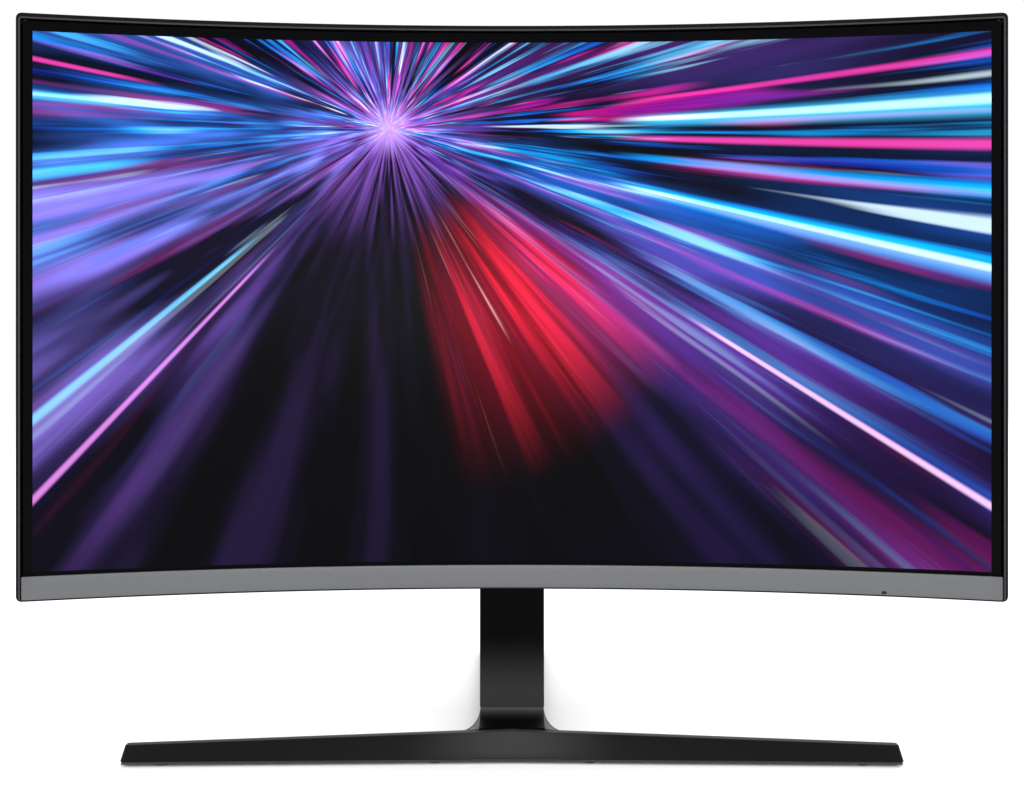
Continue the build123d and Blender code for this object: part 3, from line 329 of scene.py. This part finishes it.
def picture(name, halfWidth, halfHeight, middleHeight):
    # light streaks running out of a point: noise read in angle and in the log of the distance,
    # so that it is drawn out along every ray, over a haze that changes with the angle
    look = {
        "pointX": -0.0795, "pointY": 0.1095,   # where the streaks start, from the picture's middle
        "fine": 30.0, "broad": 7.0,            # streaks round the start
        "pull": 0.9,                           # how fast a streak changes along its run
        "glow": 1.0, "edge": 0.1 * mm,
    }
    n = Nodes(name)
    uv = n.add("ShaderNodeUVMap", uv_map="flat").outputs[0]
    split = n.add("ShaderNodeSeparateXYZ")
    n.feed(split.inputs[0], uv)
    u, v = split.outputs[0], split.outputs[1]
    dx = n.calc("SUBTRACT", u, look["pointX"])
    dy = n.calc("SUBTRACT", v, look["pointY"])
    far = n.calc("SQRT", n.calc("ADD", n.calc("MULTIPLY", dx, dx), n.calc("MULTIPLY", dy, dy)))
    safe = n.calc("ADD", far, 0.4 * mm)
    turn = n.calc("DIVIDE", n.calc("ADD", n.calc("ARCTAN2", dy, dx), math.pi), 2 * math.pi)
    logFar = n.calc("LOGARITHM", safe, math.e)

    def rays(around, along, shift, detail=2.0, rough=0.55):
        # noise at the direction times around, and at the log of the distance times along plus the shift
        place = n.add("ShaderNodeCombineXYZ")
        n.feed(place.inputs[0], n.calc("MULTIPLY", n.calc("DIVIDE", dx, safe), around))
        n.feed(place.inputs[1], n.calc("MULTIPLY", n.calc("DIVIDE", dy, safe), around))
        n.feed(place.inputs[2], n.calc("ADD", n.calc("MULTIPLY", logFar, along), shift))
        return n.noise(place.outputs[0], 1.0, detail, rough)

    # turn runs from the left, 0, through down, 0.25, right, 0.5, and up, 0.75, to the left again
    haze = n.ramp(turn, [
        (0.00, (0.03, 0.13, 0.55)), (0.05, (0.10, 0.15, 0.60)), (0.105, (0.14, 0.10, 0.42)),
        (0.135, (0.06, 0.03, 0.17)), (0.17, (0.008, 0.004, 0.022)), (0.33, (0.004, 0.002, 0.010)),
        (0.375, (0.012, 0.006, 0.05)), (0.415, (0.07, 0.02, 0.22)), (0.455, (0.004, 0.07, 0.34)),
        (0.50, (0.004, 0.012, 0.06)), (0.56, (0.04, 0.008, 0.09)), (0.63, (0.005, 0.003, 0.018)),
        (0.72, (0.006, 0.006, 0.04)), (0.80, (0.03, 0.03, 0.24)), (0.90, (0.008, 0.014, 0.10)),
        (1.00, (0.03, 0.13, 0.55))], "EASE")
    density = n.level(turn, [
        (0.00, 0.9), (0.07, 0.35), (0.13, 0.10), (0.16, 0.0), (0.37, 0.0), (0.41, 0.3), (0.45, 1.0),
        (0.56, 1.0), (0.64, 0.7), (0.72, 0.9), (0.84, 1.0), (1.00, 1.0)])
    broad = rays(look["broad"], look["pull"], 3.0, 2.0)
    fine = rays(look["fine"], look["pull"], 11.0, 3.0)
    pink = rays(look["fine"] * 0.5, look["pull"] * 0.9, 29.0, 2.0)
    hot = rays(look["fine"] * 0.6, look["pull"] * 0.8, 47.0, 2.0)

    def lay(base, tone, amount):
        # base plus tone times the amount
        added = n.mix(1.0, tone, n.level(amount, [(0, 0), (1, 1)]), "MULTIPLY")
        return n.mix(1.0, base, added, "ADD")

    def streak(source, low, high):
        # the part of a noise between low and high, times the share of streaks in this direction
        return n.calc("MULTIPLY", n.mapRange(source, low, high, smooth=True), density)

    swell = n.ramp(broad, [
        (0.38, (0.03, 0.03, 0.04)), (0.5, (0.42, 0.42, 0.46)), (0.64, (1.9, 1.8, 1.9))])
    total = n.mix(1.0, haze, swell, "MULTIPLY")
    blueTone = n.ramp(broad, [
        (0.36, (0.005, 0.02, 0.35)), (0.46, (0.0, 0.16, 0.9)), (0.56, (0.0, 0.50, 1.0)),
        (0.66, (0.35, 0.85, 1.0))])
    pinkTone = n.ramp(fine, [
        (0.35, (0.30, 0.0, 0.42)), (0.5, (0.85, 0.01, 0.30)), (0.65, (1.0, 0.12, 0.5))])
    total = lay(total, blueTone, streak(fine, 0.50, 0.68))
    pinkShare = n.level(turn, [
        (0.00, 0.25), (0.12, 0.5), (0.40, 0.7), (0.45, 0.25), (0.50, 0.7), (0.56, 1.0), (0.80, 1.0),
        (0.92, 0.5), (1.00, 0.25)])
    total = lay(total, pinkTone, n.calc("MULTIPLY", streak(pink, 0.54, 0.66), pinkShare))
    total = lay(total, (0.7, 0.9, 1.0), streak(hot, 0.62, 0.72))
    # violet glow round the point where the streaks start
    nearStart = n.mapRange(far, 8 * mm, 85 * mm, 1.0, 0.0, smooth=True)
    startRays = n.mapRange(rays(16, 0.5, 71.0, 2.0), 0.40, 0.66)
    total = lay(total, (0.36, 0.13, 0.80), n.calc("MULTIPLY", nearStart, startRays))

    def lane(at, width, start, tone, base):
        # band about one ray: it falls from full at a fifth of the width to none at the width,
        # and comes up over 40 mm from its start
        off = n.calc("ABSOLUTE", n.calc("SUBTRACT", turn, at))
        band = n.mapRange(off, width * 0.2, width, 1.0, 0.0, smooth=True)
        reach = n.mapRange(far, start, start + 40 * mm, smooth=True)
        return lay(base, tone, n.calc("MULTIPLY", band, reach))

    # a soft core of light where all the streaks meet
    core = n.mapRange(far, 0.0, 22 * mm, 1.0, 0.0, smooth=True)
    total = lay(total, (0.55, 0.35, 0.95), core)
    for at, width, start, tone in (
            (0.1115, 0.0022, 100 * mm, (0.12, 0.60, 1.0)), (0.1305, 0.0016, 100 * mm, (0.75, 0.25, 0.8)),
            (0.4105, 0.0012, 220 * mm, (1.0, 0.6, 0.9)), (0.505, 0.0050, 140 * mm, (0.05, 0.55, 1.0)),
            (0.506, 0.0020, 140 * mm, (0.6, 0.95, 1.0)), (0.494, 0.0022, 140 * mm, (0.9, 0.05, 0.4)),
            (0.482, 0.0030, 140 * mm, (0.0, 0.35, 0.9)), (0.462, 0.0046, 140 * mm, (0.0, 0.45, 1.0)),
            (0.4625, 0.0014, 140 * mm, (0.5, 0.9, 1.0)), (0.518, 0.0016, 140 * mm, (0.8, 0.03, 0.35)),
            (0.024, 0.0040, 140 * mm, (0.02, 0.5, 1.0)), (0.988, 0.0030, 140 * mm, (0.05, 0.55, 1.0)),
            (0.972, 0.0016, 140 * mm, (0.9, 0.05, 0.45))):
        total = lane(at, width, start, tone, total)

    # a red trail across the dark part, brightest in the middle of its run
    span = n.level(turn, [(0.275, 0.0), (0.315, 0.6), (0.35, 1.0), (0.39, 0.9), (0.42, 0.0)], "EASE")
    run = n.calc("MULTIPLY", n.mapRange(far, 50 * mm, 135 * mm, smooth=True),
                 n.mapRange(far, 120 * mm, 250 * mm, 1.0, 0.0, smooth=True))
    glow = n.calc("MULTIPLY", span, run)
    red = n.mapRange(rays(look["fine"] * 0.55, 0.5, 83.0, 3.0), 0.40, 0.66, smooth=True)
    total = lay(total, (0.30, 0.0, 0.012), glow)
    total = lay(total, (1.0, 0.02, 0.06), n.calc("MULTIPLY", glow, red))
    sparkle = n.mapRange(rays(look["fine"] * 0.8, 0.6, 97.0, 2.0), 0.60, 0.72, smooth=True)
    total = lay(total, (1.0, 0.45, 0.45), n.calc("MULTIPLY", glow, sparkle))

    # black border outside the picture
    def inside(offset, half):
        # full nearer the middle than half, none further out, over the width of the edge
        return n.mapRange(n.calc("ABSOLUTE", offset), half - look["edge"], half + look["edge"], 1.0, 0.0)

    insideU = inside(u, halfWidth)
    insideV = inside(n.calc("SUBTRACT", v, middleHeight), halfHeight)
    shown = n.mix(n.calc("MULTIPLY", insideU, insideV), (0.0, 0.0, 0.0), total)
    grain = n.noise(n.object, 2600, 1)
    n.bump(grain, 0.1, 0.004 * mm)
    return n.set(color=(0.0015, 0.0015, 0.002), roughness=0.28, emission=shown,
                 emissionStrength=look["glow"], specular=0.025)


def paintedLightBlack(name, low, high, lowTone, highTone,
               sideTone=None, sideFrom=0.0, sideRun=0.2 * mm, gloss=0.4):
    # satin black whose tone is painted light and shade: it runs smoothly from one height to another, and
    # where a side tone is given, on to that one over the side run, from a distance to either side of the
    # middle
    n = Nodes(name)
    split = n.add("ShaderNodeSeparateXYZ")
    n.feed(split.inputs[0], n.object)
    fine = n.noise(n.object, 1400, 2, 0.6)
    tone = n.mix(n.mapRange(split.outputs[2], low, high, smooth=True), (lowTone,) * 3, (highTone,) * 3)
    if sideTone:
        aside = n.calc("ABSOLUTE", split.outputs[0])
        beside = n.mapRange(aside, sideFrom, sideFrom + sideRun, smooth=True)
        tone = n.mix(beside, tone, (sideTone,) * 3)
    n.bump(fine, 0.3, 0.005 * mm)
    return n.set(color=tone, roughness=n.mapRange(fine, 0.3, 0.7, gloss * 0.9, gloss * 1.1), specular=0.04)


# one finish for each slot; a plastic's numbers are its roughness, its grain's scale and depth,
# and where they are given, how far its colour drifts and how much it shines
slots = {
    "frame_black": lambda: mouldedPlastic("frameBlack", (0.0025, 0.0025, 0.003), 0.22, 900, 0.000004,
                                          0.25, 0.11),
    "frame_inner": lambda: mouldedPlastic("frameInner", (0.02, 0.02, 0.021), 0.5, 700, 0.00002),
    "chin_silver": chinSilver,
    "lens_smoke": lambda: mouldedPlastic("lensSmoke", (0.002, 0.002, 0.0025), 0.3, 900, 0.000002,
                                         0.25, 0.05),
    "film_white": lambda: mouldedPlastic("filmWhite", (0.82, 0.83, 0.83), 0.4, 600, 0.00001, 0.03),
    "guide_clear": lambda: mouldedPlastic("guideClear", (0.72, 0.79, 0.82), 0.08, 300, 0.000002, 0.03),
    "led_strip": lambda: sheetMetal("ledStrip", (0.75, 0.75, 0.7), 0.45),
    "steel_sheet": lambda: sheetMetal("steelSheet", (0.52, 0.53, 0.54), 0.36),
    "steel_dark": lambda: sheetMetal("steelDark", (0.16, 0.16, 0.165), 0.42),
    "shaft_steel": lambda: sheetMetal("shaftSteel", (0.45, 0.45, 0.46), 0.22, 1500, (12, 1, 1)),
    "screw_steel": lambda: sheetMetal("screwSteel", (0.5, 0.5, 0.5), 0.3, 1800),
    "screw_black": lambda: sheetMetal("screwBlack", (0.035, 0.035, 0.037), 0.4, 1800),
    "standoff_brass": lambda: sheetMetal("standoffBrass", (0.6, 0.44, 0.18), 0.28, 1500),
    "cover_black": lambda: mouldedPlastic("coverBlack", (0.010, 0.010, 0.011), 0.46, 1500, 0.00006,
                                          0.2, 0.2),
    "board_green": circuitBoard,
    "component_black": lambda: mouldedPlastic("componentBlack", (0.04, 0.04, 0.05), 0.4, 900, 0.00002),
    "heatsink_alloy": lambda: sheetMetal("heatsinkAlloy", (0.06, 0.06, 0.065), 0.45),
    "cable_flat": lambda: mouldedPlastic("cableFlat", (0.75, 0.75, 0.72), 0.5, 400, 0.00002, 0.08),
    "socket_metal": lambda: sheetMetal("socketMetal", (0.62, 0.62, 0.63), 0.25, 1500),
    "socket_black": lambda: mouldedPlastic("socketBlack", (0.02, 0.02, 0.02), 0.42, 900, 0.00001),
    "socket_plate": lambda: sheetMetal("socketPlate", (0.30, 0.30, 0.31), 0.4, 1200, (12, 1, 1)),
    "button_black": lambda: mouldedPlastic("buttonBlack", (0.028, 0.028, 0.03), 0.35, 1200, 0.00001),
    "stand_black": lambda: mouldedPlastic("standBlack", (0.0035, 0.0035, 0.004), 0.3, 1400, 0.000006,
                                          0.25, 0.16),
    "plate_black": lambda: mouldedPlastic("plateBlack", (0.02, 0.02, 0.021), 0.6, 1100, 0.00003),
    "foot_rubber": lambda: mouldedPlastic("footRubber", (0.018, 0.018, 0.019), 0.8, 1600, 0.00004),
}
materials = {slot: make() for slot, make in slots.items()}
# the shown picture, from the panel's sides and its lower edge
lit = {"sideBorder": 5.9 * mm, "bottomBorder": 2.3 * mm, "height": 334.7 * mm}
screenHalf = (panelHalf - lit["sideBorder"], lit["height"] / 2)
panelMid = (panelLow.z + panelHigh.z) / 2
screenMid = panelLow.z + lit["bottomBorder"] + screenHalf[1] - panelMid
# painted shade: the neck darkens towards the top, in the shade under the head, and its lighter lower part
# is a painted reflection of the pale floor
materials["neck"] = paintedLightBlack("neckBlack", low=neckSeam, high=neckSeam + 50 * mm,
                               lowTone=0.034, highTone=0.0)
# satin grey that paints a highlight line along the frame's inner edge; also the lamp's lens
materials["frame_edge"] = mouldedPlastic("frameEdge", (0.036, 0.036, 0.038), 0.4, 900, 0.000004, 0.1, 0.15)
# painted highlight: the bar is lighter in the middle and towards its top, and darker towards both ends
materials["bar"] = paintedLightBlack("barBlack", low=0.0, high=10 * mm, lowTone=0.016, highTone=0.030,
                              sideTone=0.006, sideFrom=2 * mm, sideRun=75 * mm, gloss=0.34)
# painted reflection: the foot is light grey just under the neck's seam and on its flares beside the neck,
# as a glossy top mirroring the light above would be
materials["foot"] = paintedLightBlack("footBlack", low=neckSeam - 3.8 * mm, high=neckSeam - 0.3 * mm,
                               lowTone=0.0015, highTone=0.07, sideTone=0.065, sideFrom=footHalf)
materials["display_glass"] = picture("displayPicture", screenHalf[0], screenHalf[1], screenMid)
print("materials made:", len(materials))

for entry in frame["record"]["subparts"]:
    node = frame["nodes"][entry["node"]]
    node.data.materials.clear()
    node.data.materials.append(materials[entry["material_slot"]])
# the neck covers take the neck's painted shade and reflection
for name in ("neck_front_cover", "neck_rear_cover"):
    frame["nodes"][name].data.materials[0] = materials["neck"]


# ---------- display panel and chin: a rounded section carried along the curve
def curvedBar(name, halfArc, low, high, front, back, rounding, sideSteps=1):
    # section in depth and height, the same at every station along the arc, closed at both ends;
    # the last station at each end is smaller by seven tenths of the rounding, for a soft corner
    section = roundedLoop([(front, low), (front, high), (back, high), (back, low)], rounding, 5, sideSteps)
    inner = np.linspace(-halfArc + rounding, halfArc - rounding, curve["stations"])
    along = np.concatenate([[-halfArc], inner, [halfArc]])
    middle = np.array([(front + back) / 2, (low + high) / 2])
    half = np.array([(back - front) / 2, (high - low) / 2])
    shrink = np.ones((len(along), 1, 2))
    shrink[[0, -1]] = (half - rounding * 0.7) / half
    shaped = middle + (section[None] - middle) * shrink
    points = onCurve(along[:, None], shaped[..., 0], shaped[..., 1])
    return surfaceObject(name, points, wrapCols=True, capRows=True)


def flatMap(obj, middleHeight):
    # UV in metres: radius times the angle round the upright axis, and height above the middle
    co = np.empty(len(obj.data.vertices) * 3)
    obj.data.vertices.foreach_get("co", co)
    co = co.reshape(-1, 3)
    angle = np.arctan2(co[:, 0], co[:, 1] - arcCentreY)
    flat = np.stack([angle * curve["radius"], co[:, 2] - middleHeight], axis=-1)
    corner = np.empty(len(obj.data.loops), dtype=np.int32)
    obj.data.loops.foreach_get("vertex_index", corner)
    layer = obj.data.uv_layers.new(name="flat")
    layer.data.foreach_set("uv", flat[corner].ravel())


display = {"rounding": 0.5 * mm}
panel = curvedBar("displayPanel", panelHalf, panelLow.z, panelHigh.z, 0.0, curve["panelThick"],
                  display["rounding"], sideSteps=12)
flatMap(panel, panelMid)
finish(panel, materials["display_glass"], "head", "display_glass", "lcd_cell", sharpAngle=40)

chin = {"front": -1.2 * mm, "back": 2.0 * mm, "rounding": 0.7 * mm}
chinHalf = halfArcOf(chinHigh.x, chin["back"])
chinStrip = curvedBar("chinStrip", chinHalf, chinLow.z, chinHigh.z, chin["front"], chin["back"],
                      chin["rounding"], sideSteps=4)
finish(chinStrip, materials["chin_silver"], "head", "chin_silver", "chin_trim", sharpAngle=60)
print("display and chin made")


# ---------- frame round the display: loops stepped from the outside to the inside and back
bezel = {
    "front": -1.2 * mm, "back": 14 * mm, "chinBack": 2.2 * mm,
    "side": 2.8 * mm, "top": 3.7 * mm, "ledge": 0.7 * mm, "wall": 2.0 * mm,
    "corner": 4 * mm, "innerCorner": 1.0 * mm, "rounding": 0.7 * mm, "innerRounding": 1.2 * mm,
    "ledgeShare": 0.4,       # how much of a step inwards the low edge takes
    "highlightStrips": 2,        # strips of the inner round painted lighter grey, a painted highlight line
}
bezelHalf = halfArcOf(frameHigh.x, bezel["back"])


def bezelLoop(side, top, ledge, corner, depth):
    # rounded rectangle of the frame's outside, moved inwards by the side, top and ledge widths,
    # laid on the curve at one depth
    halfArc = bezelHalf - side
    low, high = frameLow.z + ledge, frameHigh.z - top
    loop = roundedLoop([(-halfArc, low), (-halfArc, high), (halfArc, high), (halfArc, low)], corner, 7, 60)
    return onCurve(loop[:, 0], depth, loop[:, 1])


def bezelRing():
    # a quarter circle at the outer front edge, inset r(1 - cos) at depth r(1 - sin), and one at the
    # inner front edge the other way round, with straight walls behind them
    b = bezel
    r, inner = b["rounding"], b["innerRounding"]
    quarter = np.linspace(0, math.pi / 2, 5)
    loops = [bezelLoop(0, 0, 0, b["corner"], b["back"])]
    for q in quarter:
        inset = r * (1 - math.cos(q))
        loops.append(bezelLoop(inset, inset, min(inset, b["ledge"] * b["ledgeShare"]),
                               b["corner"] - inset, b["front"] + r * (1 - math.sin(q))))
    for q in quarter:
        back = inner * (1 - math.sin(q))
        loops.append(bezelLoop(b["side"] - back, b["top"] - back,
                               b["ledge"] - b["ledgeShare"] * min(back, b["ledge"]),
                               b["innerCorner"] + back, b["front"] + inner * (1 - math.cos(q))))
    loops.append(bezelLoop(b["side"], b["top"], b["ledge"], b["innerCorner"], b["chinBack"]))
    loops.append(bezelLoop(b["wall"], b["wall"], b["wall"], b["innerCorner"], b["chinBack"]))
    loops.append(bezelLoop(b["wall"], b["wall"], b["wall"], b["innerCorner"], b["back"]))
    ring = surfaceObject("bezelFrame", np.stack(loops), wrapRows=True, wrapCols=True)
    # the first strips of the inner round take the lighter grey, a painted highlight line; the rest is
    # polished black
    strip = np.arange(len(ring.data.polygons)) // len(loops[0])
    firstInner = 1 + len(quarter)
    highlightBand = (strip >= firstInner) & (strip < firstInner + b["highlightStrips"])
    ring.data.materials.append(materials["frame_black"])
    ring.data.materials.append(materials["frame_edge"])
    ring.data.polygons.foreach_set("material_index", highlightBand.astype(np.int32))
    return ring


finish(bezelRing(), None, "head", "frame_black", "front_frame", sharpAngle=50)
print("frame made")


# ---------- power lamp: an oval dome in an oval surround, set in the chin
lamp = {
    "halfWidth": 1.55 * mm, "halfHeight": 0.95 * mm, "proud": 0.25 * mm,
    "rimSide": 0.832 * mm, "rimTop": 0.52 * mm,
    "rings": 8, "ringSteps": 32, "lastRing": 0.02,
}
lampLow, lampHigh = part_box("power_led_lens")
lampAlong = halfArcOf((lampLow.x + lampHigh.x) / 2, 0)
lampMid = (lampLow.z + lampHigh.z) / 2


def ovalDome(name, halfWidth, halfHeight, depthAt):
    # rings of a flattened oval, smaller and smaller; the depth of each ring is a function of its
    # share of the radius, and the last one is closed flat
    share = np.linspace(1, lamp["lastRing"], lamp["rings"])
    turn = np.linspace(0, 2 * math.pi, lamp["ringSteps"], endpoint=False)
    along = lampAlong + halfWidth * share[:, None] * np.cos(turn)
    height = lampMid + halfHeight * share[:, None] * np.sin(turn)
    front = onCurve(along, depthAt(share)[:, None], height)
    base = onCurve(along[:1], chin["back"] - 0.2 * mm, height[:1])
    return surfaceObject(name, np.concatenate([base, front]), wrapCols=True, capRows=True)


# the surround stands half as proud as the lens, with a flat top; the lens is a shallow dome
surround = ovalDome("lampSurround", lamp["halfWidth"], lamp["halfHeight"],
                    lambda s: chin["front"] - lamp["proud"] * 0.5 * (1 - s ** 6))
finish(surround, materials["lens_smoke"], "head", "lens_smoke", "power_led_lens")
lens = ovalDome("lampLens", lamp["halfWidth"] - lamp["rimSide"], lamp["halfHeight"] - lamp["rimTop"],
                lambda s: chin["front"] - lamp["proud"] * (1 - 0.4 * s ** 2))
finish(lens, materials["frame_edge"], "head", "lens_smoke")
print("lamp made")


# ---------- base: the bar, the stem and the swept foot of the neck
bar = {
    "front": -46 * mm, "sweep": 5 * mm, "depth": 40 * mm, "endDepth": 27 * mm,
    "top": 19.6 * mm, "endTop": 12.3 * mm, "lean": 5.5 * mm, "land": 6 * mm, "landFall": 0.6 * mm,
    "rearTop": 5.6 * mm, "rearEndTop": 5 * mm, "slant": 0.19, "rounding": 0.7 * mm,
    "endRounding": 2.6 * mm, "endFlat": 0.12, "leastEnd": 0.05, "stations": 40, "endSteps": 7,
}
stem = {
    "start": 0.0, "slopeStart": 24 * mm, "halfFront": 21.5 * mm, "halfRear": 25 * mm,
    "topFront": 17 * mm, "topRear": 9 * mm, "endRounding": 2 * mm, "stations": 24, "endSteps": 6,
    "edge": 0.05,                                 # rounding of its upper edges, in shares of its section
}
foot = {
    "half": footHalf, "neckHalf": -frontCoverLow.y, "seam": 0.25 * mm,
    "frontReach": 26 * mm, "rearReach": 16 * mm, "flare": 14 * mm, "leastFlare": 0.3 * mm,
    "hollowFrom": -4 * mm, "hollowTo": 18 * mm,   # along these the flare's plan curves in to the stem
    "rearSkirt": 5.5 * mm,
    "barSink": 0.05 * mm, "stemSink": 0.2 * mm, "skirtSink": 0.1 * mm,   # how far its edges go in
    "frontSteps": 26, "neckSteps": 12, "rearSteps": 20, "sideSteps": 30,
}


def barSection(frontY, depth, top, rearTop):
    # side view: leaning front, narrow flat on top, long slope to the rear edge
    low = baseLow.z
    back = frontY + depth
    corners = [(frontY, low), (frontY + bar["lean"], top),
               (frontY + bar["lean"] + bar["land"], top - bar["landFall"]), (back, rearTop), (back, low)]
    r = bar["rounding"]
    return roundedLoop(corners, [r, r, r * 2, r, r * 0.5], 6, 3)


def barSurface():
    # section mixed evenly from the middle's to the end's; over the last stretch it shrinks about its
    # own middle along a quarter circle, mostly in depth, and the ends lean in with the slant
    inner = barSection(bar["front"], bar["depth"], bar["top"], bar["rearTop"])
    outer = barSection(bar["front"] - bar["sweep"], bar["endDepth"], bar["endTop"], bar["rearEndTop"])
    reach = baseHigh.x + bar["slant"] * baseLow.z
    roundShare = bar["endRounding"] / reach
    quarter = np.linspace(0, math.pi / 2, bar["endSteps"])
    straight = np.linspace(0, 1 - roundShare, bar["stations"])
    share = np.concatenate([straight, 1 - roundShare + roundShare * np.sin(quarter[1:])])
    inset = np.concatenate([np.zeros(bar["stations"]), bar["endRounding"] * (1 - np.cos(quarter[1:]))])
    section = inner * (1 - share[:, None, None]) + outer * share[:, None, None]
    low, high = section.min(axis=1, keepdims=True), section.max(axis=1, keepdims=True)
    middle, half = (low + high) / 2, (high - low) / 2
    inset = inset[:, None, None] * [1, bar["endFlat"]]
    section = middle + (section - middle) * np.maximum(1 - inset / half, bar["leastEnd"])
    x = share[:, None] * (reach - bar["slant"] * section[..., 1])
    right = np.stack([x, section[..., 0], section[..., 1]], axis=-1)
    left = right[:0:-1] * [-1, 1, 1]
    return surfaceObject("baseBar", np.concatenate([left, right]), wrapCols=True, capRows=True)


def stemSurface():
    # a rounded rectangle scaled to the width, which grows evenly, and to the height, which falls
    # evenly from the slope's start; both come in along a quarter circle at the rear end
    end = baseHigh.y
    r = stem["endRounding"]
    quarter = np.linspace(0, math.pi / 2, stem["endSteps"])
    straight = np.linspace(stem["start"], end - r, stem["stations"])
    y = np.concatenate([straight, end - r + r * np.sin(quarter[1:])])
    inset = np.concatenate([np.zeros(stem["stations"]), r * (1 - np.cos(quarter[1:]))])
    half = stem["halfFront"] + (stem["halfRear"] - stem["halfFront"]) * y / end - inset
    fall = np.clip((y - stem["slopeStart"]) / (end - stem["slopeStart"]), 0, 1)
    top = stem["topFront"] + (stem["topRear"] - stem["topFront"]) * fall - inset
    unit = roundedLoop([(-1, 0), (-1, 1), (1, 1), (1, 0)], stem["edge"], 6, 6)
    x = half[:, None] * unit[:, 0]
    height = baseLow.z + (top[:, None] - baseLow.z) * unit[:, 1]
    points = np.stack([x, np.broadcast_to(y[:, None], x.shape), height], axis=-1)
    return surfaceObject("baseStem", points, wrapCols=True, capRows=True)


def footSurface():
    # height over plan: along the middle it rises from the bar to the neck's seam on a quarter
    # ellipse and falls to the stem on another; beside the neck a quarter ellipse carries it down
    # to the bar, and in plan that flare curves in to the stem on one more
    neck, seam = foot["neckHalf"], neckSeam - foot["seam"]
    frontY, rearY = -neck - foot["frontReach"], neck + foot["rearReach"]
    rise = np.sin(np.linspace(0, math.pi / 2, foot["frontSteps"]))
    fall = 1 - np.cos(np.linspace(0, math.pi / 2, foot["rearSteps"]))
    y = np.concatenate([frontY + foot["frontReach"] * rise,
                        np.linspace(-neck, neck, foot["neckSteps"])[1:],
                        neck + foot["rearReach"] * fall[1:]])
    barLand = bar["top"] - foot["barSink"]
    stemLand = stem["topFront"] - foot["stemSink"]
    ahead = np.clip((y - frontY) / foot["frontReach"], 0, 1)
    behind = np.clip((rearY - y) / foot["rearReach"], 0, 1)
    top = np.where(y < 0, barLand + (seam - barLand) * (1 - np.sqrt(1 - ahead ** 2)),
                   stemLand + (seam - stemLand) * (1 - np.sqrt(1 - behind ** 2)))
    t = np.linspace(0, 1, foot["sideSteps"])
    hollow = np.clip((foot["hollowTo"] - y) / (foot["hollowTo"] - foot["hollowFrom"]), 0, 1)
    flare = np.maximum(foot["flare"] * (1 - np.sqrt(1 - hollow ** 2)), foot["leastFlare"])
    out = flare[:, None] * t ** 2
    x = foot["half"] + out
    share = x / (baseHigh.x + bar["slant"] * baseLow.z)
    barFront = bar["front"] - bar["sweep"] * share + bar["lean"] + bar["land"]
    barRear = bar["front"] - bar["sweep"] * share + bar["depth"] + (bar["endDepth"] - bar["depth"]) * share
    barTop = bar["top"] - bar["landFall"] + (bar["endTop"] - bar["top"]) * share
    along = np.clip((y[:, None] - barFront) / (barRear - barFront), 0, 1)
    slope = barTop + (bar["rearTop"] - barTop) * along
    slope = np.where(y[:, None] > barRear, foot["rearSkirt"], slope)
    shelf = slope - foot["skirtSink"] * t
    z = shelf + (top[:, None] - shelf[:, :1]) * (1 - np.sqrt(1 - (1 - t ** 2) ** 2))
    z = np.minimum(z, top[:, None])
    planY = np.broadcast_to(y[:, None], x.shape)
    right = np.stack([x, planY, z], axis=-1)
    upper = np.concatenate([right[:, ::-1] * [-1, 1, 1], right], axis=1)
    lower = upper[:, ::-1].copy()
    lower[..., 2] = baseLow.z
    return surfaceObject("neckFoot", np.concatenate([upper, lower], axis=1), wrapCols=True, capRows=True)


finish(barSurface(), materials["bar"], "stand", "stand_black", "base_cover", sharpAngle=50)
finish(stemSurface(), materials["stand_black"], "stand", "stand_black", sharpAngle=50)
finish(footSurface(), materials["foot"], "stand", "stand_black", sharpAngle=35)
print("base made")

# ---------- studio
studio = {"floor": (0.975, 0.975, 0.975), "floorHalf": 25.0, "world": 1.04}
floorEdge = np.linspace(-studio["floorHalf"], studio["floorHalf"], 5)
floorX, floorY = np.meshgrid(floorEdge, floorEdge, indexing="ij")
floorZ = np.full_like(floorX, cadBox[0][2])
floor = surfaceObject("floor", np.stack([floorX, floorY, floorZ], axis=-1))
floor.data.materials.append(mouldedPlastic("floorPale", studio["floor"], 0.9, 20, 0.00001, 0.005))


def softBox(name, place, target, size, power):
    # a rectangular light at a place, turned along the line from there to its target
    light = bpy.data.lights.new(name, "AREA")
    light.shape = "RECTANGLE"
    light.size, light.size_y = size
    light.energy = power
    obj = bpy.data.objects.new(name, light)
    scene.collection.objects.link(obj)
    obj.location = place
    obj.rotation_euler = (Vector(target) - Vector(place)).to_track_quat("-Z", "Y").to_euler()


softBox("softAbove", (0, -0.6, 1.9), (0, 0, 0.2), (2.4, 1.6), 16)
softBox("softLeft", (-1.9, -1.1, 1.0), (0, 0, 0.25), (1.0, 1.6), 10)
softBox("softRight", (1.9, -1.1, 1.0), (0, 0, 0.25), (1.0, 1.6), 10)
softBox("softFront", (0, -1.3, 0.34), (0, 0, 0.02), (0.22, 0.22), 2.5)
softBox("softBack", (0.4, 1.8, 1.3), (0, 0, 0.25), (2.0, 1.2), 14)
world = bpy.data.worlds.new("studio")
world.use_nodes = True
background = world.node_tree.nodes["Background"]
background.inputs["Color"].default_value = (1, 1, 1, 1)
background.inputs["Strength"].default_value = studio["world"]
scene.world = world
scene.view_settings.view_transform = "Standard"
print("studio lit")
